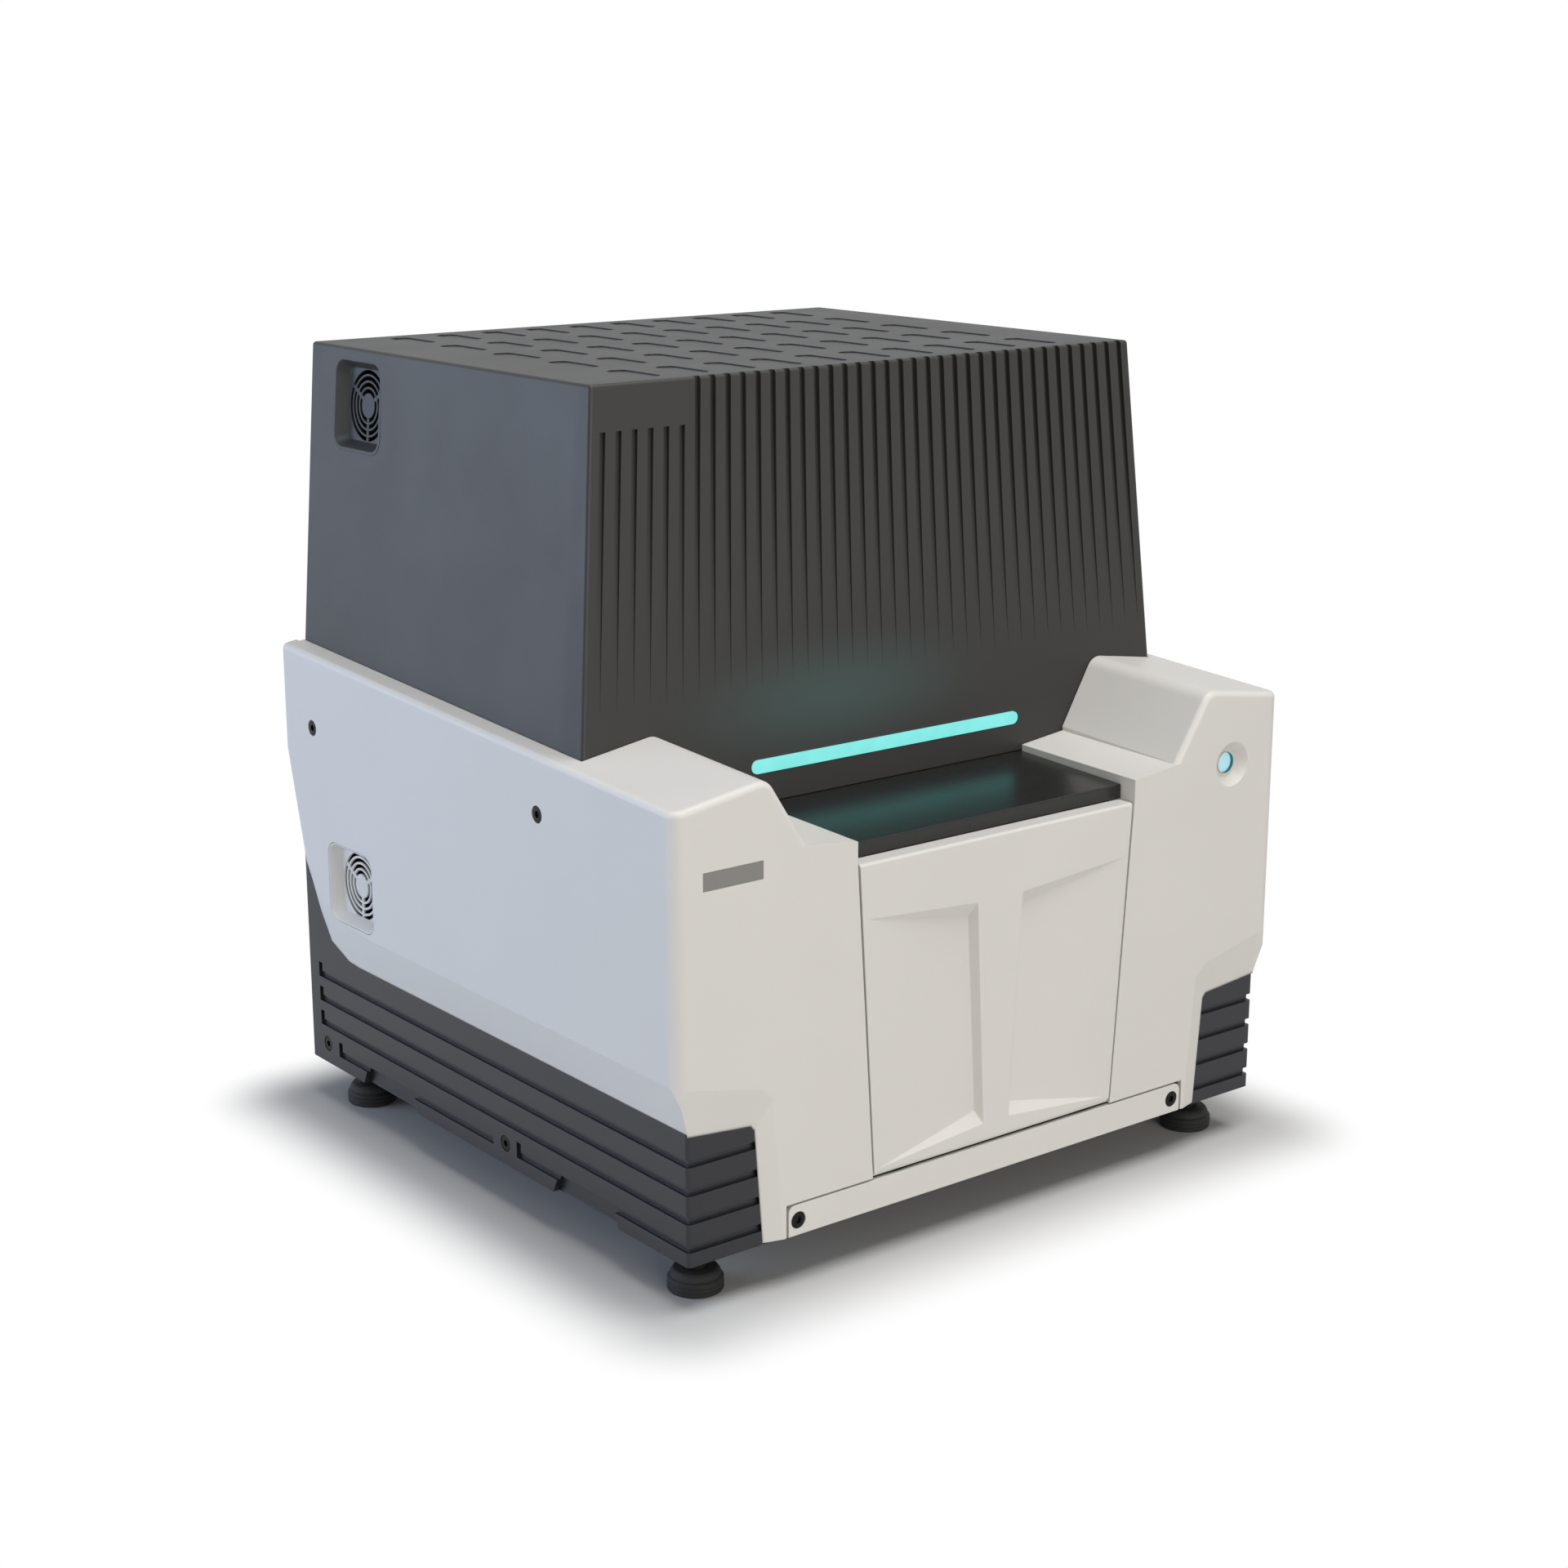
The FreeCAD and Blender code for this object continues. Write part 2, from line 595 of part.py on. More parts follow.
def make_base_tub():
    body = new_body("base_tub")
    side = Profile(body, "YZ_Plane")
    side.polygon([(-d.base_front, d.base_bottom), (d.base_rear, d.base_bottom),
                  (d.base_rear, d.rear_top), (d.rear_rise, d.rear_top),
                  (d.rear_rise, d.base_top), (-d.base_front, d.base_top)])
    pad(side, d.base_width, "both")
    fillet(body, 3.0, lambda a, b: near(a.y, -d.base_front) and near(b.y, -d.base_front)
           and abs(a.z - b.z) > 50)
    inside = Profile(body, "XY_Plane", d.rear_top + 1)
    inside.rectangle((-BASE_HALF + d.base_wall, -d.base_front + d.base_wall),
                     (BASE_HALF - d.base_wall, d.base_rear + 1))
    pocket(inside, d.rear_top + 1 - FLOOR_TOP, "-Z")
    doorway = Profile(body, "XZ_Plane", -d.base_front - 1)
    doorway.rectangle((-d.shelf_inner, d.strip_top), (d.shelf_inner, d.base_top + 1))
    pocket(doorway, d.base_wall + 2, "+Y")
    grips = Profile(body, "XY_Plane", d.base_bottom)
    rim = 6.0
    grip_inner = BASE_HALF - d.grip_depth - d.base_wall
    for middle in (d.grip_rear, -d.grip_front):
        low_y = middle - d.grip_length / 2 - rim
        high_y = middle + d.grip_length / 2 + rim
        grips.rectangle((grip_inner, low_y), (BASE_HALF - d.base_wall / 2, high_y))
        grips.rectangle((-BASE_HALF + d.base_wall / 2, low_y), (-grip_inner, high_y))
    pad(grips, d.grip_rise + d.base_wall, "+Z")
    for face, toward in ((BASE_HALF, "-X"), (-BASE_HALF, "+X")):
        handles = Profile(body, "YZ_Plane", face)
        grip_outline(handles, d.grip_rear)
        grip_outline(handles, -d.grip_front)
        pocket(handles, d.grip_depth, toward)
        trim = Profile(body, "YZ_Plane", face)
        for level in (1, 2, 3):
            height = d.groove_low + d.groove_pitch * level
            trim_groove(trim, height, -d.base_front - 1, d.groove_rear, d.groove_stub)
        trim_groove(trim, d.groove_low, -d.base_front - 1, -d.base_screw_front - 16, d.groove_stub)
        trim_groove(trim, d.groove_low, -d.base_screw_front + 17.5, d.base_screw_rear - 19, d.groove_stub)
        pocket(trim, d.groove_depth, toward)
        seats = Profile(body, "YZ_Plane", face)
        seats.circle((d.base_screw_rear, d.base_screw_z), COUNTERBORE)
        seats.circle((-d.base_screw_front, d.base_screw_z), COUNTERBORE)
        pocket(seats, SEAT_DEPTH, toward)
        holes = Profile(body, "YZ_Plane", face)
        holes.circle((d.base_screw_rear, d.base_screw_z), SHANK_HOLE)
        holes.circle((-d.base_screw_front, d.base_screw_z), SHANK_HOLE)
        pocket(holes, d.base_wall + 1, toward)
    front_trim = Profile(body, "XZ_Plane", -d.base_front)
    for level in range(4):
        height = d.groove_low + d.groove_pitch * level
        low_z = height - d.groove_width / 2
        high_z = height + d.groove_width / 2
        front_trim.rectangle((d.leg_inner + 10, low_z), (BASE_HALF + 1, high_z))
        front_trim.rectangle((-BASE_HALF - 1, low_z), (-d.leg_inner - 10, high_z))
    pocket(front_trim, d.groove_depth, "+Y")
    foot_holes = Profile(body, "XY_Plane", d.base_bottom - 1)
    for x in both_sides(d.foot_side):
        foot_holes.circle((x, -d.foot_front), d.stud_radius + d.run_gap)
        foot_holes.circle((x, d.foot_rear), d.stud_radius + d.run_gap)
    pocket(foot_holes, d.base_wall + 2, "+Z")
    strip_holes = Profile(body, "XZ_Plane", -d.base_front - 1)
    for x in both_sides(d.strip_screw_x):
        strip_holes.circle((x, d.strip_screw_z), SHANK_HOLE)
    pocket(strip_holes, d.base_wall + 2, "+Y")
    sub_part(body, "base_tub")


# Steel floor plate, with the front upstand that carries the door hinges.
UPSTAND_FRONT = -d.base_front + d.base_wall
UPSTAND_TOP = d.strip_top
UPSTAND_DEEP = 22.0


def make_base_plate():
    body = new_body("base_plate")
    half = d.foot_side - d.stud_radius - 6
    outline = Profile(body, "XY_Plane", FLOOR_TOP)
    outline.rectangle((-half, UPSTAND_FRONT), (half, d.base_rear - d.base_wall))
    pad(outline, d.plate_thick, "+Z")
    upstand = Profile(body, "YZ_Plane")
    upstand.rectangle((UPSTAND_FRONT, FLOOR_TOP), (UPSTAND_FRONT + UPSTAND_DEEP, UPSTAND_TOP))
    pad(upstand, (d.knuckle_side + d.knuckle_width) * 2, "both")
    hollow = Profile(body, "YZ_Plane")
    hollow.rectangle((UPSTAND_FRONT + 3, FLOOR_TOP + 3), (UPSTAND_FRONT + UPSTAND_DEEP - 3, UPSTAND_TOP - 3))
    pocket(hollow, (d.knuckle_side + d.knuckle_width) * 2 + 2, "both")
    sub_part(body, "base_plate")


# Rear panel between the raised corners of the base.
INLET_X = -190.0
INLET_Z = 110.0
INLET_WIDE = 48.0
INLET_TALL = 60.0
PORT_X = -110.0
PORT_Z = 110.0
PORT_WIDE = 60.0
PORT_TALL = 32.0


def make_rear_panel():
    body = new_body("rear_panel")
    half = BASE_HALF - d.base_wall
    outline = Profile(body, "XZ_Plane", d.base_rear)
    outline.rectangle((-half, FLOOR_TOP), (half, d.rear_top))
    pad(outline, d.base_wall, "-Y")
    openings = Profile(body, "XZ_Plane", d.base_rear + 1)
    openings.rectangle((INLET_X - INLET_WIDE / 2, INLET_Z - INLET_TALL / 2),
                       (INLET_X + INLET_WIDE / 2, INLET_Z + INLET_TALL / 2))
    openings.rectangle((PORT_X - PORT_WIDE / 2, PORT_Z - PORT_TALL / 2),
                       (PORT_X + PORT_WIDE / 2, PORT_Z + PORT_TALL / 2))
    pocket(openings, d.base_wall + 2, "-Y")
    louvre = Profile(body, "XZ_Plane", d.base_rear + 1)
    louvre.slot((120.0, 220.0), 120.0, 5.0)
    slit = pocket(louvre, d.base_wall + 2, "-Y")
    line_pattern(slit, body, "Z_Axis", d.groove_width * 2, 8)
    sub_part(body, "rear_panel")


# White side shells: side wall, shoulder and front panel moulded in one.
SHELL_LONG = d.shell_front + d.shell_rear
SHOULDER_IN_Z = d.shoulder_front + SHOULDER_FALL * (d.shell_half - d.shoulder_inner)
SHELF_FOOT_Z = d.shelf_front + SHELF_FALL * (d.shoulder_foot - d.shelf_inner)
SEAM_LOW = d.door_half_low + d.door_seam
BADGE_FRONT = -d.shell_front + 0.2


def sloped_pad(profile, length, slope):
    """A pad that runs back from its profile and rises as it goes."""
    feature = profile.body.newObject("PartDesign::Pad", "Pad")
    feature.Profile = profile.sketch
    feature.UseCustomVector = True
    feature.Direction = VECTOR(0, 1, slope)
    feature.AlongSketchNormal = True
    bind(feature, "Length", length)
    return feature


def shell_hollow(profile, run):
    """Section of the hollow behind the shell's skin."""
    rise = SHOULDER_SLOPE * run
    lift = SHELF_SLOPE * run
    wall = d.shell_wall
    outer_z = d.shoulder_front + SHOULDER_FALL * (d.shell_half - BASE_HALF)
    profile.polygon([
        (BASE_HALF, 0),
        (BASE_HALF, outer_z + rise - wall),
        (d.shoulder_inner + wall * 0.5, SHOULDER_IN_Z + rise - wall * 1.09),
        (d.shoulder_foot + wall * 0.58, SHELF_FOOT_Z + lift - wall * 0.95),
        (d.shelf_inner + wall, d.shelf_front + lift - wall),
        (d.shelf_inner + wall, 0),
    ])


def make_shell_blank():
    """The right shell before its own openings; the left one is its mirror image."""
    body = new_body("shell_blank")
    shoulder = Profile(body, "XZ_Plane", -d.shell_front)
    shoulder.polygon([(d.shell_half, d.shoulder_front), (d.shoulder_inner, SHOULDER_IN_Z),
                      (d.shoulder_foot, SHELF_FOOT_Z), (d.shoulder_foot, d.door_bottom),
                      (d.leg_inner, d.door_bottom), (d.leg_inner, d.leg_bottom),
                      (d.shell_half, d.leg_bottom)])
    sloped_pad(shoulder, SHELL_LONG, SHOULDER_SLOPE)
    fillet(body, 14.0, lambda a, b: near(a.x, d.shoulder_inner) and near(b.x, d.shoulder_inner)
           and abs(a.y - b.y) > 100)
    fillet(body, d.corner_radius, lambda a, b: near(a.x, d.shell_half) and near(b.x, d.shell_half)
           and abs(a.z - b.z) > 100 and a.y < 0)
    fillet(body, d.edge_radius, lambda a, b: near(a.x, d.shell_half) and near(b.x, d.shell_half)
           and a.z > 300 and b.z > 300 and abs(a.y - b.y) > 100)
    shelf = Profile(body, "XZ_Plane", -d.shell_front)
    shelf.polygon([(d.shoulder_foot + 5, SHELF_FOOT_Z + 0.5), (d.shoulder_foot, SHELF_FOOT_Z),
                   (d.shelf_inner, d.shelf_front), (d.shelf_inner, d.door_top + 0.8),
                   (SEAM_LOW, d.door_bottom), (d.leg_inner, d.door_bottom),
                   (d.leg_inner, d.leg_bottom), (d.shoulder_foot + 45, d.leg_bottom)])
    sloped_pad(shelf, SHELL_LONG, SHELF_SLOPE)

    chamfer = Profile(body, "XZ_Plane", -d.shell_front - 1)
    steep = (d.ridge_low - d.shell_low) / (d.shell_half - BASE_HALF)
    chamfer.polygon([(BASE_HALF, 0), (d.shell_half + 1, 0),
                     (d.shell_half + 1, d.ridge_low + steep), (BASE_HALF, d.shell_low)])
    pocket(chamfer, SHELL_LONG + 2, "+Y")

    notch_back = Profile(body, "XZ_Plane", -d.base_front)
    notch_back.polygon([(BASE_HALF + 23, d.shell_low), (d.leg_inner + 29, d.shell_low - 7.3),
                        (d.leg_inner + 25.8, d.shell_low - 11), (d.leg_inner + 18, d.leg_bottom - 9),
                        (BASE_HALF + 23, d.leg_bottom - 9)])
    notch_front = Profile(body, "XZ_Plane", -d.shell_front)
    notch_front.polygon([(BASE_HALF + 23, d.ridge_low + 1.9), (d.leg_inner + 23, d.ridge_low - 16.5),
                         (d.leg_inner + 12, d.ridge_low - 26.2), (d.leg_inner + 2.4, d.leg_bottom - 9),
                         (BASE_HALF + 23, d.leg_bottom - 9)])
    loft("Subtractive", notch_back, notch_front)

    tail_inner = Profile(body, "YZ_Plane", BASE_HALF)
    low = d.shell_low
    tail = d.shell_rear
    tail_inner.polygon([(tail - 82, low), (tail - 67, low + 1.1), (tail - 38.4, low + 11.7),
                        (tail - 21.7, low + 34.4), (tail - 8.8, low + 58.1), (tail + 1, low + 74),
                        (tail + 1, 0), (tail - 82, 0)])
    tail_outer = Profile(body, "YZ_Plane", d.shell_half)
    ridge = d.ridge_low
    tail_outer.polygon([(tail - 122, ridge), (tail - 82, ridge + 3), (tail - 54, ridge + 15),
                        (tail - 34, ridge + 38), (tail - 20, ridge + 66), (tail + 1, ridge + 140),
                        (tail + 1, 0), (tail - 122, 0)])
    loft("Subtractive", tail_inner, tail_outer)

    hollow_front = Profile(body, "XZ_Plane", -d.base_front)
    shell_hollow(hollow_front, d.shell_front - d.base_front)
    hollow_rear = Profile(body, "XZ_Plane", d.shell_rear - d.shell_wall)
    shell_hollow(hollow_rear, SHELL_LONG - d.shell_wall)
    loft("Subtractive", hollow_front, hollow_rear)

    below_lip = Profile(body, "XZ_Plane", -d.base_front)
    below_lip.rectangle((SEAM_LOW - 20, 0), (d.shelf_inner + d.shell_wall + 1, d.shelf_front - d.shelf_lip))
    pocket(below_lip, d.base_front + d.shell_rear + 1, "+Y")
    back_open = Profile(body, "XZ_Plane", d.shell_rear - d.shell_wall - 1)
    back_open.rectangle((SEAM_LOW - 20, 0), (BASE_HALF, d.hood_top))
    pocket(back_open, d.shell_wall + 2, "+Y")

    side_room = Profile(body, "YZ_Plane", BASE_HALF)
    room_low = d.ridge_low + d.shell_wall + 2
    room_top = d.shoulder_front - d.shell_wall
    room_front = -d.shell_front + d.corner_radius + 1
    room_back = d.shell_rear - d.corner_radius - 11
    side_room.polygon([(room_front, room_low), (room_back - 65, room_low),
                       (room_back - 36, room_low + 14), (room_back - 16, room_low + 40),
                       (room_back - 4, room_low + 73), (room_back, room_low + 108),
                       (room_back, room_top + SHOULDER_SLOPE * (d.shell_front + room_back)),
                       (room_front, room_top)])
    pocket(side_room, d.shell_half - d.shell_wall - BASE_HALF, "+X")

    clear_low = Profile(body, "XY_Plane", d.hood_ledge - 30)
    half, front_y, rear_y = hood_outline(d.hood_ledge - 30, d.hood_seam)
    clear_low.rectangle((SEAM_LOW - 20, -front_y), (half, rear_y))
    clear_top = Profile(body, "XY_Plane", d.hood_top)
    half, front_y, rear_y = hood_outline(d.hood_top, d.hood_seam)
    clear_top.rectangle((SEAM_LOW - 20, -front_y), (half, rear_y))
    loft("Subtractive", clear_low, clear_top)
    under_low = Profile(body, "XY_Plane", d.hood_ledge - 90)
    half, front_y, rear_y = hood_outline(d.hood_ledge - 90, d.hood_seam)
    under_low.rectangle((SEAM_LOW - 20, -front_y), (BASE_HALF - 12, d.shell_rear + 1))
    under_top = Profile(body, "XY_Plane", d.hood_ledge - 30)
    half, front_y, rear_y = hood_outline(d.hood_ledge - 30, d.hood_seam)
    under_top.rectangle((SEAM_LOW - 20, -front_y), (BASE_HALF - 12, d.shell_rear + 1))
    loft("Subtractive", under_low, under_top)
    return body


def shell_screw_tools(sign):
    """Counterbores and holes for the two screws in a side shell."""
    tools = []
    for y in (d.shell_screw_rear, -d.shell_screw_front):
        face = d.shell_half - SEAT_DEPTH
        start = face if sign > 0 else -d.shell_half - 1
        tools.append(cylinder((start, y, d.shell_screw_z), COUNTERBORE, SEAT_DEPTH + 1, "X"))
        start = BASE_HALF if sign > 0 else -d.shell_half
        tools.append(cylinder((start, y, d.shell_screw_z), SHANK_HOLE, d.shell_half - BASE_HALF, "X"))
    return tools


def make_side_shells(blank):
    boss_long = d.dish_depth + 8
    boss = cylinder((d.button_x, -d.base_front, d.button_z), d.dish_radius + 3,
                    boss_long - (d.shell_front - d.base_front), "Y")
    with_boss = fuse([blank, boss])
    dish = cone((d.button_x, -d.shell_front, d.button_z), d.dish_radius, d.ring_radius + 2,
                d.dish_depth, "Y")
    bore = cylinder((d.button_x, -d.shell_front, d.button_z), d.ring_radius, boss_long + 1, "Y")
    sub_part(cut(with_boss, [dish, bore] + shell_screw_tools(1)), "right_side_shell")

    mirror = DOC.addObject("Part::Mirroring", "Mirror")
    mirror.Source = blank
    mirror.Normal = VECTOR(1, 0, 0)
    badge_seat = box((-d.badge_x - d.badge_wide / 2 - 0.2, -d.shell_front - 1,
                      d.badge_z - d.badge_tall / 2 - 0.2),
                     (-d.badge_x + d.badge_wide / 2 + 0.2, BADGE_FRONT + d.badge_thick,
                      d.badge_z + d.badge_tall / 2 + 0.2))
    vent_hole = new_body("lower_vent_hole")
    opening = Profile(vent_hole, "YZ_Plane", -d.shell_half - 1)
    vent_rounded(opening, d.lower_vent_y, d.lower_vent_z, 0.2)
    pad(opening, d.shell_wall + 12, "+X")
    tools = [badge_seat, vent_hole] + shell_screw_tools(-1)
    sub_part(cut(mirror, tools), "left_side_shell")


def vent_rounded(profile, y, z, grow):
    """The mouth of a vent recess, grown by a clearance."""
    half_wide = d.vent_wide / 2 + grow
    half_tall = d.vent_tall / 2 + grow
    profile.rounded((y - half_wide, z - half_tall), (y + half_wide, z + half_tall), d.vent_radius)


def make_front_strip():
    body = new_body("bottom_strip")
    outline = Profile(body, "XZ_Plane", -d.base_front)
    outline.rectangle((-d.strip_half, d.leg_bottom), (d.strip_half, d.strip_top))
    pad(outline, d.shell_front - d.base_front, "-Y")
    fillet(body, 6.0, lambda a, b: near(abs(a.x), d.strip_half) and near(a.z, d.strip_top)
           and near(b.z, d.strip_top) and near(a.x, b.x))
    seats = Profile(body, "XZ_Plane", -d.shell_front)
    holes = Profile(body, "XZ_Plane", -d.shell_front)
    for x in both_sides(d.strip_screw_x):
        seats.circle((x, d.strip_screw_z), COUNTERBORE)
        holes.circle((x, d.strip_screw_z), SHANK_HOLE)
    pocket(seats, SEAT_DEPTH, "+Y")
    pocket(holes, d.base_wall + 2, "+Y")
    sub_part(body, "bottom_strip")


def cover_screw(x, y, z, axis, sign, shank):
    """A cover screw: a head with a hexagon socket, and its shank."""
    deep = SEAT_DEPTH - 0.3
    seat = {"X": (x - sign * SEAT_DEPTH, y, z), "Y": (x, y - sign * SEAT_DEPTH, z)}[axis]
    along = 0 if axis == "X" else 1
    head_start = list(seat)
    shank_start = list(seat)
    socket_start = list(seat)
    if sign > 0:
        shank_start[along] = seat[along] - shank
        socket_start[along] = seat[along] + deep - 1.2
    else:
        head_start[along] = seat[along] - deep
        socket_start[along] = seat[along] - deep - 1
    head = cylinder(head_start, d.head_radius, deep, axis)
    rod = cylinder(shank_start, d.shank_radius, shank, axis)
    socket = DOC.addObject("Part::Prism", "Socket")
    socket.Polygon = 6
    socket.Circumradius = 2.9
    socket.Height = 2.2
    socket.Placement = FreeCAD.Placement(VECTOR(), AXIS_TURN[axis])
    place(socket, socket_start)
    return cut(fuse([head, rod]), [socket])


def make_screws():
    strip = [cover_screw(x, -d.shell_front, d.strip_screw_z, "Y", -1, d.base_wall * 2 + 2)
             for x in both_sides(d.strip_screw_x)]
    sub_part(group(strip), "strip_screws")
    shank = d.shell_half - BASE_HALF + d.base_wall + 3
    shell = []
    base = []
    for sign in (1, -1):
        for y in (d.shell_screw_rear, -d.shell_screw_front):
            shell.append(cover_screw(d.shell_half * sign, y, d.shell_screw_z, "X", sign, shank))
        for y in (d.base_screw_rear, -d.base_screw_front):
            base.append(cover_screw(BASE_HALF * sign, y, d.base_screw_z, "X", sign, d.base_wall + 2))
    sub_part(group(shell), "shell_screws")
    sub_part(group(base), "base_screws")


def make_shell_brackets():
    """Upright straps that carry the shells' screws from the walls of the base."""
    straps = []
    for sign in (1, -1):
        for y in (d.shell_screw_rear, -d.shell_screw_front):
            outer = BASE_HALF - d.base_wall
            inner = outer - 3
            low_x = inner if sign > 0 else -outer
            high_x = outer if sign > 0 else -inner
            strap = box((low_x, y - 9, d.base_top - 60), (high_x, y + 9, d.shell_screw_z + 9))
            spacer_x = outer if sign > 0 else -d.shell_half + d.shell_wall
            spacer = cylinder((spacer_x, y, d.shell_screw_z), d.shank_radius + 3,
                              d.shell_half - d.shell_wall - outer, "X")
            hole = cylinder((low_x - 30, y, d.shell_screw_z), SHANK_HOLE, 60.0, "X")
            straps.append(cut(fuse([strap, spacer]), [hole]))
    sub_part(group(straps), "shell_brackets")


# Hood: one tapered moulding, grooved on its front, recessed on its top.
SKIRT_LOW = d.hood_ledge - d.hood_skirt
APRON_Z = (d.deck_low + d.deck_thick) + DECK_SLOPE * (d.deck_front - d.hood_front_low) + 0.5
GROOVE_COUNT = 38
SHORT_COUNT = 6


def hood_groove(body, x, top, top_gap):
    """A groove whose floor runs out into the hood's face at its lower end."""
    profile = Profile(body, "YZ_Plane", x)
    face_top = hood_at(d.hood_front_low, d.hood_front_top, top)
    face_low = hood_at(d.hood_front_low, d.hood_front_top, d.rib_fade)
    profile.polygon([(-face_top - 3, top + top_gap), (-face_top + d.rib_depth, top + top_gap),
                     (-face_low, d.rib_fade), (-face_low - 3, d.rib_fade)])
    return pocket(profile, d.rib_width, "both")


def make_hood():
    body = new_body("hood_shell")
    half, front_y, rear_y = hood_outline(APRON_Z)
    side = Profile(body, "YZ_Plane")
    side.polygon([(-front_y, APRON_Z), (rear_y, APRON_Z), (d.hood_rear_top, d.hood_top),
                  (-d.hood_front_top, d.hood_top)])
    pad(side, half * 2, "both")
    slopes = Profile(body, "XZ_Plane", d.hood_rear_top + 10)
    for sign in (1, -1):
        slopes.polygon([(half * sign, APRON_Z), ((half + 5) * sign, APRON_Z),
                        ((half + 5) * sign, d.hood_top), (d.hood_half_top * sign, d.hood_top)])
    pocket(slopes, d.hood_rear_top + d.hood_front_low + 30, "-Y")
    fillet(body, 3.0, lambda a, b: near(a.z, d.hood_top) and near(b.z, d.hood_top)
           or (abs(a.z - b.z) > 200))
    low_in = Profile(body, "XY_Plane", APRON_Z)
    half, front_y, rear_y = hood_outline(APRON_Z, -d.hood_wall)
    low_in.rectangle((-half, -front_y), (half, rear_y))
    top_in = Profile(body, "XY_Plane", d.hood_top - d.hood_wall)
    half, front_y, rear_y = hood_outline(d.hood_top - d.hood_wall, -d.hood_wall)
    top_in.rectangle((-half, -front_y), (half, rear_y))
    loft("Subtractive", low_in, top_in)
    skirt = Profile(body, "YZ_Plane")
    run = d.hood_front_low + d.hood_rear_low
    skirt.polygon([(-d.hood_front_low + d.hood_wall + 1, APRON_Z - 40),
                   (d.hood_rear_low + 20, APRON_Z - 40),
                   (d.hood_rear_low + 20, SKIRT_LOW + SHOULDER_SLOPE * (run + 20)),
                   (-d.hood_front_low + d.hood_wall + 1, SKIRT_LOW)])
    pocket(skirt, d.shell_half * 2, "both")
    first = -(GROOVE_COUNT - 1) / 2 * d.rib_pitch
    short = hood_groove(body, first, d.rib_short_top, 0.0)
    line_pattern(short, body, "X_Axis", d.rib_pitch, SHORT_COUNT)
    long_first = first + d.rib_pitch * SHORT_COUNT
    full = hood_groove(body, long_first, d.hood_top, 1.0)
    line_pattern(full, body, "X_Axis", d.rib_pitch, GROOVE_COUNT - SHORT_COUNT)
    recess = Profile(body, "XY_Plane", d.hood_top)
    middle_y = (d.hood_rear_top - d.hood_front_top) / 2
    recess.slot((d.slot_pitch_across * -4.5, middle_y - d.slot_pitch_along * 2),
                d.slot_length, d.slot_width, upright=True)
    slot = pocket(recess, d.slot_depth, "-Z")
    grid_pattern(slot, body, ("X_Axis", "Y_Axis"), (d.slot_pitch_across, d.slot_pitch_along), (10, 5))
    seat = Profile(body, "XZ_Plane", -hood_at(d.hood_front_low, d.hood_front_top, d.bar_middle) - 3)
    seat.slot((0.0, d.bar_middle), d.bar_half * 2 + 0.4, d.bar_tall + 0.4)
    pocket(seat, d.bar_sink + 3, "+Y")
    vent = Profile(body, "YZ_Plane", -d.shell_half)
    vent_rounded(vent, d.upper_vent_y, d.upper_vent_z, 0.5)
    pocket(vent, 60.0, "+X")
    sub_part(body, "hood_shell")


def make_light_bar():
    body = new_body("light_bar")
    floor_y = -hood_at(d.hood_front_low, d.hood_front_top, d.bar_middle) + d.bar_sink
    outline = Profile(body, "XZ_Plane", floor_y)
    outline.slot((0.0, d.bar_middle), d.bar_half * 2, d.bar_tall)
    pad(outline, d.bar_sink + 1, "-Y")
    sub_part(body, "light_bar")


# Vent cups: a pan set into a side wall, its floor cut as a ring grille.
SPOKE_HALF = 8.0


def make_vent_cup(label, face_x, y, z, slant):
    body = new_body(label)
    deep = d.vent_depth + d.vent_wall
    outer = Profile(body, "YZ_Plane")
    vent_rounded(outer, 0.0 * d.vent_wide, 0.0 * d.vent_tall, 0.0)
    pad(outer, deep, "+X")
    inner = Profile(body, "YZ_Plane")
    half_wide = d.vent_wide / 2 - d.vent_wall
    half_tall = d.vent_tall / 2 - d.vent_wall
    inner.rounded((-half_wide, -half_tall), (half_wide, half_tall), d.vent_radius - d.vent_wall)
    pocket(inner, d.vent_depth, "+X")
    grille = Profile(body, "YZ_Plane")
    for ring in range(4):
        outer_edge = d.grille_radius - d.ring_pitch * ring
        grille.sector(outer_edge - d.ring_slot, outer_edge, -90 + SPOKE_HALF, 30 - SPOKE_HALF)
    slots = pocket(grille, deep + 1, "+X")
    round_pattern(slots, body, "X_Axis", 3)
    turn = FreeCAD.Rotation(VECTOR(0, 1, 0), slant)
    body.Placement = FreeCAD.Placement(VECTOR(), turn)
    place(body, (face_x, y, z))
    return sub_part(body, label)


